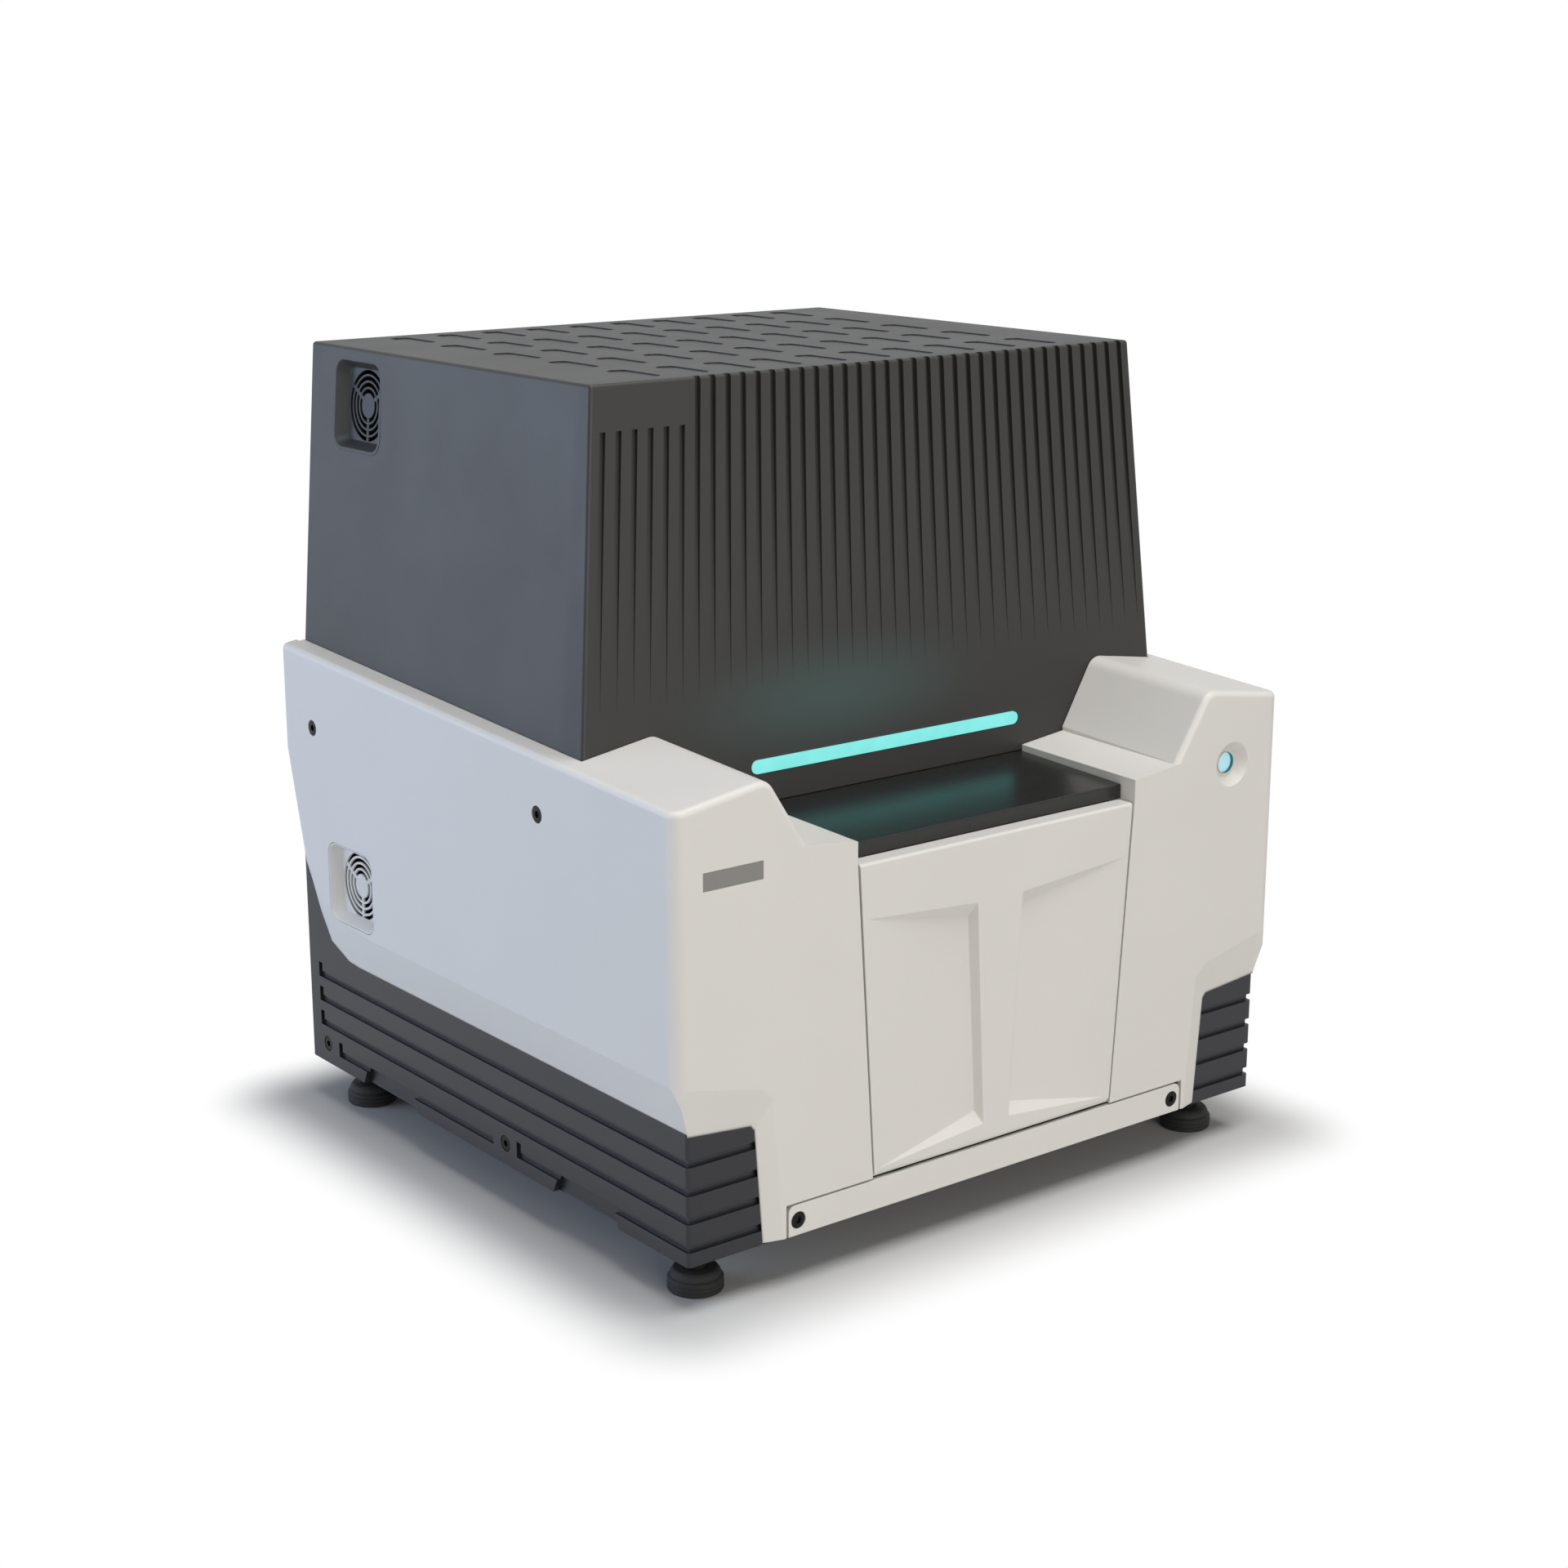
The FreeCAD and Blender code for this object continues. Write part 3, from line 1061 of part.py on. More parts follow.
def make_fan(label, back_x, y, z, sign):
    """A fan frame whose front face touches the grille, and its rotor."""
    half = d.fan_size / 2
    front = back_x
    frame = box((front, y - half, z - half), (front + d.fan_depth, y + half, z + half))
    duct = cylinder((front - 1, y, z), d.fan_bore, d.fan_depth + 2, "X")
    motor_x = front + d.fan_depth - 4
    motor = cylinder((motor_x, y, z), d.hub_radius - 1, 4.0, "X")
    struts = [box((motor_x, y - 2, z - d.fan_bore - 1), (motor_x + 4, y + 2, z + d.fan_bore + 1)),
              box((motor_x, y - d.fan_bore - 1, z - 2), (motor_x + 4, y + d.fan_bore + 1, z + 2))]
    shaft_hole = cylinder((motor_x - 1, y, z), d.fan_shaft + d.run_gap, 6.0, "X")
    body = cut(fuse([cut(frame, [duct]), motor] + struts), [shaft_hole])
    sub_part(body, label + "_frame")

    rotor = new_body(label + "_rotor")
    hub = Profile(rotor, "YZ_Plane", 3.0)
    hub.circle((0, 0), d.hub_radius)
    hub_long = d.fan_depth - 8
    pad(hub, hub_long, "+X")
    shaft = Profile(rotor, "YZ_Plane", 3.0)
    shaft.circle((0, 0), d.fan_shaft)
    pad(shaft, d.fan_depth - 3, "+X")
    root = Profile(rotor, "XY_Plane", d.hub_radius - 1.5)
    tip = Profile(rotor, "XY_Plane", d.blade_tip)
    for profile, pitch_angle in ((root, 50.0), (tip, 30.0)):
        turn = math.radians(pitch_angle)
        long_x = math.sin(turn) * hub_long * 0.55
        long_y = math.cos(turn) * hub_long * 0.55
        thick = 0.8
        middle = hub_long / 2 + 3
        profile.polygon([
            (middle - long_x, -long_y - thick), (middle + long_x, long_y - thick),
            (middle + long_x, long_y + thick), (middle - long_x, -long_y + thick)])
    blade = loft("Additive", root, tip)
    round_pattern(blade, rotor, "X_Axis", 7)
    place(rotor, (front, y, z))
    sub_part(rotor, label + "_rotor")


def make_vents():
    slant = math.degrees(math.atan((d.hood_half_low.value - d.hood_half_top.value)
                                   / (d.hood_top.value - d.hood_ledge.value)))
    face = hood_at(d.hood_half_low, d.hood_half_top, d.upper_vent_z)
    make_vent_cup("upper_vent_cup", -face + 0.4, d.upper_vent_y, d.upper_vent_z, -slant)
    make_vent_cup("lower_vent_cup", -d.shell_half + 0.4, d.lower_vent_y, d.lower_vent_z, 0.0)
    deep = d.vent_depth + d.vent_wall
    make_fan("upper_fan", -face + 0.4 + deep + 2.8, d.upper_vent_y, d.upper_vent_z + 1.5, 1)
    make_fan("lower_fan", -d.shell_half + 0.4 + deep, d.lower_vent_y, d.lower_vent_z, 1)


# Deck cover, its rails and the bay walls that carry them.
DECK_BACK_LOW = d.deck_low + DECK_SLOPE * (d.deck_front - d.deck_back)


def deck_height(y):
    """Underside of the deck cover at a place front to back."""
    return d.deck_low + DECK_SLOPE * (y + d.deck_front)


def make_deck():
    body = new_body("deck_cover")
    slab = Profile(body, "YZ_Plane")
    slab.polygon([(-d.deck_front, d.deck_low), (-d.deck_back, DECK_BACK_LOW),
                  (-d.deck_back, DECK_BACK_LOW + d.deck_thick), (-d.deck_front, d.deck_low + d.deck_thick)])
    pad(slab, d.deck_half * 2, "both")
    fillet(body, 1.5, lambda a, b: near(a.y, -d.deck_front) and near(b.y, -d.deck_front)
           and near(a.z, d.deck_low + d.deck_thick) and near(b.z, d.deck_low + d.deck_thick))
    start = -d.deck_front + 12
    for sign in (1, -1):
        runner = Profile(body, "YZ_Plane", (d.runner_side - d.runner_width / 2) * sign)
        runner.polygon([(start, deck_height(start) - d.runner_depth),
                        (-d.deck_back, DECK_BACK_LOW - d.runner_depth),
                        (-d.deck_back, DECK_BACK_LOW + 1), (start, deck_height(start) + 1)])
        pad(runner, d.runner_width, "+X" if sign > 0 else "-X")
    sub_part(body, "deck_cover")

    rails = []
    for sign in (1, -1):
        rail = new_body("deck_rail")
        back = -d.rail_back
        front = -d.bay_front
        outline = Profile(rail, "YZ_Plane", (d.runner_side - d.rail_width / 2) * sign)
        outline.polygon([(front, d.rail_bottom), (back, d.rail_bottom),
                         (back, deck_height(back) - d.slide_gap), (front, deck_height(front) - d.slide_gap)])
        toward = "+X" if sign > 0 else "-X"
        pad(outline, d.rail_width, toward)
        track = Profile(rail, "YZ_Plane", (d.runner_side - d.runner_width / 2 - d.slide_gap) * sign)
        low = d.runner_depth + d.slide_gap
        track.polygon([(front - 1, deck_height(front) - low), (back + 1, deck_height(back) - low),
                       (back + 1, deck_height(back) + 2), (front - 1, deck_height(front) + 2)])
        pocket(track, d.runner_width + d.slide_gap * 2, toward)
        rails.append(rail)
    sub_part(group(rails), "deck_rails")


def make_bay_walls():
    walls = []
    for sign in (1, -1):
        inner = (d.bay_half - d.bay_wall / 2) * sign
        wall = new_body("bay_wall")
        outline = Profile(wall, "YZ_Plane", inner)
        outline.rectangle((-d.bay_front, PLATE_TOP), (-d.rail_back, d.rail_bottom))
        toward = "+X" if sign > 0 else "-X"
        pad(outline, d.bay_wall, toward)
        foot = Profile(wall, "XY_Plane", PLATE_TOP)
        near_x = inner
        far_x = inner + 24 * sign
        spots = sorted((near_x, far_x), key=number)
        foot.rectangle((spots[0], -d.bay_front + 6), (spots[1], -d.rail_back))
        pad(foot, 3.0, "+Z")
        windows = Profile(wall, "YZ_Plane", inner - 1 * sign)
        windows.rounded((-d.bay_front + 30, PLATE_TOP + 30), (-d.rail_back - 30, d.bed_top - 10), 8.0)
        pocket(windows, d.bay_wall + 2, toward)
        walls.append(wall)
    sub_part(group(walls), "bay_walls")


# Front door, hinged at its lower edge.
DOOR_AXIS_Y = -d.shell_front + d.door_axis
DOOR_AXIS_Z = d.door_bottom + d.door_axis
RECESS_RIM = 7.8


def solid_between(corners, faces):
    """A closed solid with flat faces through named corners."""
    sheets = []
    for face in faces:
        loop = [VECTOR(*corners[name]) for name in face]
        sheets.append(Part.Face(Part.makePolygon(loop + loop[:1])))
    return Part.Solid(Part.makeShell(sheets))


def door_recess(sign):
    """The wedge cut from the door's face beside its raised T, deepest at the T."""
    front = -number(d.shell_front) - 0.001
    deep = number(d.recess_depth)
    top = number(d.door_top)
    low = number(d.door_bottom)
    half_top = number(d.door_half_top)
    half_low = number(d.door_half_low)
    outer_top = (half_top - RECESS_RIM, front, top - 42.1)
    inner_top = (22.6, front, top - 49.7)
    inner_low = (13.0, front, low + 16.4)
    outer_low = (half_low - 4.9, front, low + 6.9)
    floor_top = (inner_top[0] + 3, front + deep, inner_top[2] - 12)
    floor_x = inner_low[0] + 3
    floor_z = inner_low[2] + 5.5
    across = VECTOR(*outer_low) - VECTOR(*outer_top)
    inward = VECTOR(*floor_top) - VECTOR(*outer_top)
    normal = across.cross(inward)
    floor_y = front - ((floor_x - outer_top[0]) * normal.x + (floor_z - outer_top[2]) * normal.z) / normal.y
    corners = {"outer_top": outer_top, "inner_top": inner_top, "inner_low": inner_low,
               "outer_low": outer_low, "floor_top": floor_top, "floor_low": (floor_x, floor_y, floor_z)}
    corners = {name: (spot[0] * sign, spot[1], spot[2]) for name, spot in corners.items()}
    faces = [("outer_top", "inner_top", "inner_low", "outer_low"),
             ("outer_top", "floor_top", "floor_low", "outer_low"),
             ("outer_top", "inner_top", "floor_top"),
             ("outer_low", "inner_low", "floor_low"),
             ("inner_top", "floor_top", "floor_low"),
             ("inner_top", "floor_low", "inner_low")]
    tool = DOC.addObject("Part::Feature", "Recess")
    tool.Shape = solid_between(corners, faces)
    return tool


def make_door():
    body = new_body("door_blank")
    outline = Profile(body, "XZ_Plane", -d.shell_front)
    outline.polygon([(-d.door_half_low, d.door_bottom), (d.door_half_low, d.door_bottom),
                     (d.door_half_top, d.door_top), (-d.door_half_top, d.door_top)])
    pad(outline, d.door_thick, "+Y")
    fillet(body, d.door_axis - 0.01, lambda a, b: near(a.y, -d.shell_front) and near(b.y, -d.shell_front)
           and near(a.z, d.door_bottom) and near(b.z, d.door_bottom))
    fillet(body, 2.5, lambda a, b: near(a.y, -d.shell_front) and near(b.y, -d.shell_front)
           and near(a.z, d.door_top) and near(b.z, d.door_top))
    hollow = Profile(body, "XZ_Plane", -d.shell_front + d.door_thick + 1)
    hollow.polygon([(-d.door_half_low + 8, d.door_bottom + 24), (d.door_half_low - 8, d.door_bottom + 24),
                    (d.door_half_top - 8, d.door_top - 8), (-d.door_half_top + 8, d.door_top - 8)])
    pocket(hollow, 4.0, "-Y")
    tools = [door_recess(1), door_recess(-1)]
    reach = d.knuckle_width / 2 + 1
    clear = d.knuckle_radius + 0.7
    for x in both_sides(d.knuckle_side):
        tools.append(box((x - reach, DOOR_AXIS_Y - clear, d.door_bottom - 2),
                         (x + reach, -d.shell_front + d.door_thick + 1, DOOR_AXIS_Z + clear)))
        tools.append(cylinder((x - reach - 9, DOOR_AXIS_Y, DOOR_AXIS_Z), d.door_pin_radius,
                              (reach + 9) * 2, "X"))
    sub_part(cut(body, tools), "front_door")

    pins = [cylinder((x - reach - 9, DOOR_AXIS_Y, DOOR_AXIS_Z), d.door_pin_radius, (reach + 9) * 2, "X")
            for x in both_sides(d.knuckle_side)]
    sub_part(group(pins), "door_pins")

    brackets = []
    half = d.knuckle_width / 2
    for x in both_sides(d.knuckle_side):
        knuckle = cylinder((x - half, DOOR_AXIS_Y, DOOR_AXIS_Z), d.knuckle_radius, d.knuckle_width, "X")
        arm = box((x - half, DOOR_AXIS_Y, DOOR_AXIS_Z - d.knuckle_radius),
                  (x + half, UPSTAND_FRONT + UPSTAND_DEEP, DOOR_AXIS_Z + d.knuckle_radius))
        leg = box((x - half, -d.shell_front + d.door_thick + 3, UPSTAND_TOP),
                  (x + half, UPSTAND_FRONT + UPSTAND_DEEP, DOOR_AXIS_Z))
        bore = cylinder((x - half - 1, DOOR_AXIS_Y, DOOR_AXIS_Z), d.door_pin_radius + d.run_gap,
                        d.knuckle_width + 2, "X")
        brackets.append(cut(fuse([knuckle, arm, leg]), [bore]))
    sub_part(group(brackets), "door_brackets")


# Power button in its dish, with the lit ring and the switch behind it.
RING_Y = -d.shell_front + d.dish_depth
BUTTON_PROUD = 2.6


def make_button():
    ring_deep = 6.0
    ring = cylinder((d.button_x, RING_Y - 1.5, d.button_z), d.ring_radius - 0.1, ring_deep, "Y")
    hole = cylinder((d.button_x, RING_Y - 3, d.button_z), d.button_radius + d.slide_gap, ring_deep + 3, "Y")
    sub_part(cut(ring, [hole]), "button_ring")

    body = new_body("power_button")
    outline = Profile(body, "XZ_Plane", RING_Y - BUTTON_PROUD)
    outline.circle((d.button_x, d.button_z), d.button_radius)
    pad(outline, ring_deep + 1, "+Y")
    dimple = Profile(body, "XZ_Plane", RING_Y - BUTTON_PROUD)
    dimple.circle((d.button_x, d.button_z), d.button_radius - 2)
    pocket(dimple, 0.6, "+Y")
    sub_part(body, "power_button")

    back_y = RING_Y - 1.5 + ring_deep
    can = cylinder((d.button_x, back_y, d.button_z), d.ring_radius - 0.1, 18.0, "Y")
    well = cylinder((d.button_x, back_y - 1, d.button_z), d.button_radius + d.slide_gap,
                    d.button_travel + 1.5 + 1, "Y")
    sub_part(cut(can, [well]), "button_switch")


def make_badge():
    plate = box((-d.badge_x - d.badge_wide / 2, BADGE_FRONT, d.badge_z - d.badge_tall / 2),
                (-d.badge_x + d.badge_wide / 2, BADGE_FRONT + d.badge_thick, d.badge_z + d.badge_tall / 2))
    sub_part(plate, "name_badge")


# Levelling feet: a rubber pad with a waist, moulded on a threaded stud.
def make_foot(label, x, y):
    body = new_body(label)
    section = Profile(body, "XZ_Plane")
    radius = d.foot_radius
    tall = d.foot_height
    stud_top = FLOOR_TOP + 15
    section.polygon([(0, 0), (radius - 1.5, 0), (radius, 1.5), (radius, tall * 0.55),
                     (radius - 2, tall * 0.66), (radius - 2, tall * 0.8), (radius - 4, tall),
                     (d.stud_radius + 5, tall), (d.stud_radius + 5, d.base_bottom - d.nut_thick - 0.3),
                     (d.stud_radius, d.base_bottom - d.nut_thick - 0.3), (d.stud_radius, stud_top),
                     (0, stud_top)])
    turned = body.newObject("PartDesign::Revolution", "Revolution")
    turned.Profile = section.sketch
    turned.ReferenceAxis = (section.sketch, ["V_Axis"])
    turned.Angle = 360
    body.Tip = turned
    place(body, (x, y, 0.0))
    sub_part(body, label)


def make_feet():
    spots = {"foot_front_left": (-d.foot_side, -d.foot_front), "foot_front_right": (d.foot_side, -d.foot_front),
             "foot_rear_left": (-d.foot_side, d.foot_rear), "foot_rear_right": (d.foot_side, d.foot_rear)}
    nuts = []
    for label, (x, y) in spots.items():
        make_foot(label, x, y)
        nut = DOC.addObject("Part::Prism", "Nut")
        nut.Polygon = 6
        bind(nut, "Circumradius", d.nut_flats / math.sqrt(3))
        bind(nut, "Height", d.nut_thick)
        place(nut, (x, y, d.base_bottom - d.nut_thick))
        hole = cylinder((x, y, d.base_bottom - d.nut_thick - 1), d.stud_radius + d.run_gap,
                        d.nut_thick + 2, "Z")
        nuts.append(cut(nut, [hole]))
    sub_part(group(nuts), "foot_nuts")


# Mains inlet with its rocker switch, and the data ports.
def make_inlet():
    gap = 0.2
    half_wide = INLET_WIDE / 2 - gap
    half_tall = INLET_TALL / 2 - gap
    rear = d.base_rear
    core = box((INLET_X - half_wide, rear - 26, INLET_Z - half_tall),
               (INLET_X + half_wide, rear, INLET_Z + half_tall))
    flange = box((INLET_X - half_wide - 3, rear - d.base_wall - 2, INLET_Z - half_tall - 3),
                 (INLET_X + half_wide + 3, rear - d.base_wall, INLET_Z + half_tall + 3))
    socket = box((INLET_X - 14, rear - 16, INLET_Z - 26), (INLET_X + 14, rear + 1, INLET_Z - 6))
    rocker_well = box((INLET_X - 13.3, rear - 10, INLET_Z + 3.7), (INLET_X + 13.3, rear + 1, INLET_Z + 24.3))
    blades = [box((INLET_X + x - 1, rear - 17, INLET_Z - 16 + z - 2), (INLET_X + x + 1, rear - 4, INLET_Z - 16 + z + 2))
              for x, z in ((-7, -3), (0, 3), (7, -3))]
    pivots = [cylinder((INLET_X + x, rear - 4, INLET_Z + 14), 1.5, 2.2, "X") for x in (-14.0, 11.8)]
    sub_part(fuse([cut(fuse([core, flange]), [socket, rocker_well])] + blades + pivots), "mains_inlet")

    body = new_body("rocker_switch")
    section = Profile(body, "YZ_Plane", INLET_X)
    y = rear - 4
    section.polygon([(y - 4, INLET_Z + 9), (y - 4, INLET_Z + 19), (y + 1, INLET_Z + 23),
                     (y + 3, INLET_Z + 23), (y + 1.6, INLET_Z + 14), (y + 3, INLET_Z + 5), (y + 1, INLET_Z + 5)])
    pad(section, 25.4, "both")
    bore = Profile(body, "YZ_Plane", INLET_X)
    bore.circle((y, INLET_Z + 14), 1.5 + d.run_gap)
    pocket(bore, 40.0, "both")
    sub_part(body, "rocker_switch")


def make_ports():
    rear = d.base_rear
    block = box((PORT_X - PORT_WIDE / 2 + 0.2, rear - 22, PORT_Z - PORT_TALL / 2 + 0.2),
                (PORT_X + PORT_WIDE / 2 - 0.2, rear, PORT_Z + PORT_TALL / 2 - 0.2))
    flange = box((PORT_X - PORT_WIDE / 2 - 3, rear - d.base_wall - 2, PORT_Z - PORT_TALL / 2 - 3),
                 (PORT_X + PORT_WIDE / 2 + 3, rear - d.base_wall, PORT_Z + PORT_TALL / 2 + 3))
    network = box((PORT_X - 22, rear - 12, PORT_Z - 7), (PORT_X - 6, rear + 1, PORT_Z + 7))
    upper = box((PORT_X + 6, rear - 12, PORT_Z + 2), (PORT_X + 19, rear + 1, PORT_Z + 8))
    lower = box((PORT_X + 6, rear - 12, PORT_Z - 8), (PORT_X + 19, rear + 1, PORT_Z - 2))
    sub_part(cut(fuse([block, flange]), [network, upper, lower]), "port_block")


# Electronics.
def make_electronics():
    supply_low = (-60.0, 182.0, PLATE_TOP)
    supply = box(supply_low, (150.0, 262.0, PLATE_TOP + 52))
    vents = [box((-40.0 + 24 * i, 181.0, PLATE_TOP + 12), (-28.0 + 24 * i, 184.0, PLATE_TOP + 40))
             for i in range(7)]
    sub_part(cut(supply, vents), "power_supply")

    face = d.upright_inner + d.upright_thick
    spacer = 8.0
    board = box((face + spacer, 0.0, 90.0), (face + spacer + 1.6, 140.0, 290.0))
    chips = [box((face + spacer + 1.6, y, z), (face + spacer + 1.6 + high, y + wide, z + tall))
             for y, z, wide, tall, high in ((20.0, 110.0, 34.0, 34.0, 4.0), (80.0, 120.0, 24.0, 24.0, 3.0),
                                            (20.0, 180.0, 90.0, 12.0, 10.0), (20.0, 230.0, 20.0, 40.0, 14.0),
                                            (70.0, 230.0, 40.0, 30.0, 6.0))]
    sub_part(fuse([board] + chips), "controller_board")
    posts = [cylinder((face, y, z), 3.0, spacer, "X") for y in (8.0, 132.0) for z in (98.0, 282.0)]
    sub_part(group(posts), "board_standoffs")


# Gantry: uprights, beam, rails, cross carriage and the sensor head.
BEAM_TOP = d.beam_low + d.beam_tall
BEAM_MIDDLE = d.beam_low + d.beam_tall / 2
X_RAIL_FRONT = d.beam_front - d.linear_tall
CARRIAGE_FRONT = X_RAIL_FRONT - 16
Z_RAIL_FRONT = CARRIAGE_FRONT - d.linear_tall
HEAD_PLATE_FRONT = Z_RAIL_FRONT - 10
HEAD_X = -d.head_left
HEAD_TOP = d.head_low + d.head_tall


def make_upright(label, sign):
    body = new_body(label)
    inner = d.upright_inner * sign
    toward = "+X" if sign > 0 else "-X"
    outline = Profile(body, "YZ_Plane", inner)
    outline.polygon([(-d.upright_front, PLATE_TOP), (d.upright_back, PLATE_TOP),
                     (d.upright_back, d.upright_top - 60), (d.upright_back - 40, d.upright_top),
                     (d.beam_front - 20, d.upright_top), (-d.upright_front, d.upright_top - 110)])
    pad(outline, d.upright_thick, toward)
    window = Profile(body, "YZ_Plane", inner - 1 * sign)
    window.rounded((-d.upright_front + 26, d.bed_top + 170), (d.upright_back - 30, d.beam_low - 26), 10.0)
    window.rounded((-d.upright_front + 26, PLATE_TOP + 16), (d.upright_back - 30, d.bed_top - 40), 10.0)
    pocket(window, d.upright_thick + 2, toward)
    foot = Profile(body, "XY_Plane", PLATE_TOP)
    ends = sorted((inner, inner + 34 * sign), key=number)
    foot.rectangle((ends[0], -d.upright_front), (ends[1], d.upright_back))
    pad(foot, d.upright_thick, "+Z")
    sub_part(body, label)


def make_gantry():
    make_upright("left_upright", -1)
    make_upright("right_upright", 1)
    body = new_body("gantry_beam")
    section = Profile(body, "YZ_Plane")
    section.rectangle((d.beam_front, d.beam_low), (d.beam_front + d.beam_deep, BEAM_TOP))
    pad(section, d.upright_inner * 2, "both")
    core = Profile(body, "YZ_Plane")
    core.rectangle((d.beam_front + 4, d.beam_low + 4), (d.beam_front + d.beam_deep - 4, BEAM_TOP - 4))
    pocket(core, d.upright_inner * 2 + 2, "both")
    sub_part(body, "gantry_beam")

    half = d.linear_wide / 2
    rail_end = d.upright_inner - 8
    sub_part(box((-rail_end, X_RAIL_FRONT, BEAM_MIDDLE - half), (rail_end, d.beam_front, BEAM_MIDDLE + half)),
             "x_rail")

    reach = d.carriage_wide / 2
    block = box((HEAD_X - reach, CARRIAGE_FRONT, d.beam_low), (HEAD_X + reach, d.beam_front - 0.5, BEAM_TOP))
    channel = box((HEAD_X - reach - 1, X_RAIL_FRONT - d.slide_gap, BEAM_MIDDLE - half - d.slide_gap),
                  (HEAD_X + reach + 1, d.beam_front + 1, BEAM_MIDDLE + half + d.slide_gap))
    sub_part(cut(block, [channel]), "x_carriage")

    sub_part(box((HEAD_X - half, Z_RAIL_FRONT, d.beam_low - 30), (HEAD_X + half, CARRIAGE_FRONT, BEAM_TOP + 20)),
             "z_rail")


def make_head():
    half = d.linear_wide / 2
    gap = d.slide_gap
    plate = box((HEAD_X - 40, HEAD_PLATE_FRONT, HEAD_TOP), (HEAD_X + 40, Z_RAIL_FRONT - gap, BEAM_TOP + 30))
    shoes = [box((HEAD_X - 24, Z_RAIL_FRONT - gap, z), (HEAD_X + 24, CARRIAGE_FRONT - gap, z + 24))
             for z in (d.beam_low + 6, BEAM_TOP - 28)]
    channel = box((HEAD_X - half - gap, Z_RAIL_FRONT - gap, d.beam_low - 40),
                  (HEAD_X + half + gap, CARRIAGE_FRONT + 1, BEAM_TOP + 40))
    sub_part(cut(fuse([plate] + shoes), [channel]), "head_plate")

    block = new_body("sensor_head")
    outline = Profile(block, "XY_Plane", d.head_low)
    outline.rounded((HEAD_X - 15, d.head_y - 40), (HEAD_X + 15, d.head_y + 40), 5.0)
    pad(outline, d.head_tall, "+Z")
    nozzles = Profile(block, "XY_Plane", d.head_low)
    nozzles.circle((HEAD_X, d.head_y - d.well_pitch * 3.5), 2.5)
    nose = pad(nozzles, 12.0, "-Z")
    line_pattern(nose, block, "Y_Axis", d.well_pitch, 8)
    sub_part(block, "sensor_head")

    tips = []
    tip_top = d.head_low - 12
    for index in range(8):
        y = d.head_y + d.well_pitch * (index - 3.5)
        collar = cylinder((HEAD_X, y, tip_top - 10), 3.2, 10.0, "Z")
        point = cone((HEAD_X, y, d.tip_low), 0.9, 2.2, tip_top - 10 - d.tip_low, "Z")
        tips.append(fuse([collar, point]))
    sub_part(group(tips), "sensor_tips")

    sub_part(box((HEAD_X - 55, HEAD_PLATE_FRONT - 62, BEAM_TOP - 70), (HEAD_X + 55, HEAD_PLATE_FRONT, BEAM_TOP + 26)),
             "spectrometer")
    sub_part(box((HEAD_X - 30, HEAD_PLATE_FRONT - 44, HEAD_TOP + 46), (HEAD_X + 30, HEAD_PLATE_FRONT, BEAM_TOP - 70)),
             "light_source")
    fibres = [cylinder((HEAD_X + x, d.head_y - 30, HEAD_TOP), 3.0, 46.0, "Z") for x in (-9.0, 0.0, 9.0)]
    sub_part(group(fibres), "fibre_bundle")


# Stage: bed, rails, leadscrew, moving plate and what stands on it.
SCREW_Z = d.bed_top + 6.5
STAGE_LOW = d.bed_top + d.linear_tall + 1
STAGE_TOP = STAGE_LOW + d.stage_thick
STAGE_Y = -d.stage_y
SAMPLE_Y = STAGE_Y - d.labware_pitch / 2
TRAY_Y = STAGE_Y + d.labware_pitch / 2


def make_stage_bed():
    bed = box((-d.bed_half, -d.bed_front, d.bed_top - d.bed_thick), (d.bed_half, d.bed_back, d.bed_top))
    legs = [box((x - 6, y - 25, PLATE_TOP), (x + 6, y + 25, d.bed_top - d.bed_thick))
            for x in both_sides(d.bed_half - 12) for y in (-d.bed_front + 35, -40.0, d.bed_back - 35)]
    sub_part(fuse([bed] + legs), "stage_bed")
    half = d.linear_wide / 2
    rails = [box((x - half, -d.bed_front + 4, d.bed_top), (x + half, d.bed_back - 2, d.bed_top + d.linear_tall))
             for x in both_sides(d.stage_rail_side)]
    sub_part(group(rails), "stage_rails")

    bore = d.screw_radius + d.run_gap
    blocks = []
    for low, high in ((-d.bed_front + 4, -d.bed_front + 14), (d.bed_back - 8, d.bed_back)):
        block = box((-14.0, low, d.bed_top), (14.0, high, STAGE_LOW - 0.6))
        blocks.append(cut(block, [cylinder((0.0, low - 1, SCREW_Z), bore, 12.0, "Y")]))
    sub_part(group(blocks), "screw_bearings")
    start = -d.bed_front + 4
    sub_part(cylinder((0.0, start, SCREW_Z), d.screw_radius, d.bed_back + 10 - start, "Y"), "stage_screw")
    motor = box((-21.0, d.bed_back, SCREW_Z - 21), (21.0, d.bed_back + 15.5, SCREW_Z + 21))
    shaft_hole = cylinder((0.0, d.bed_back - 1, SCREW_Z), bore, 14.0, "Y")
    sub_part(cut(motor, [shaft_hole]), "stage_motor")


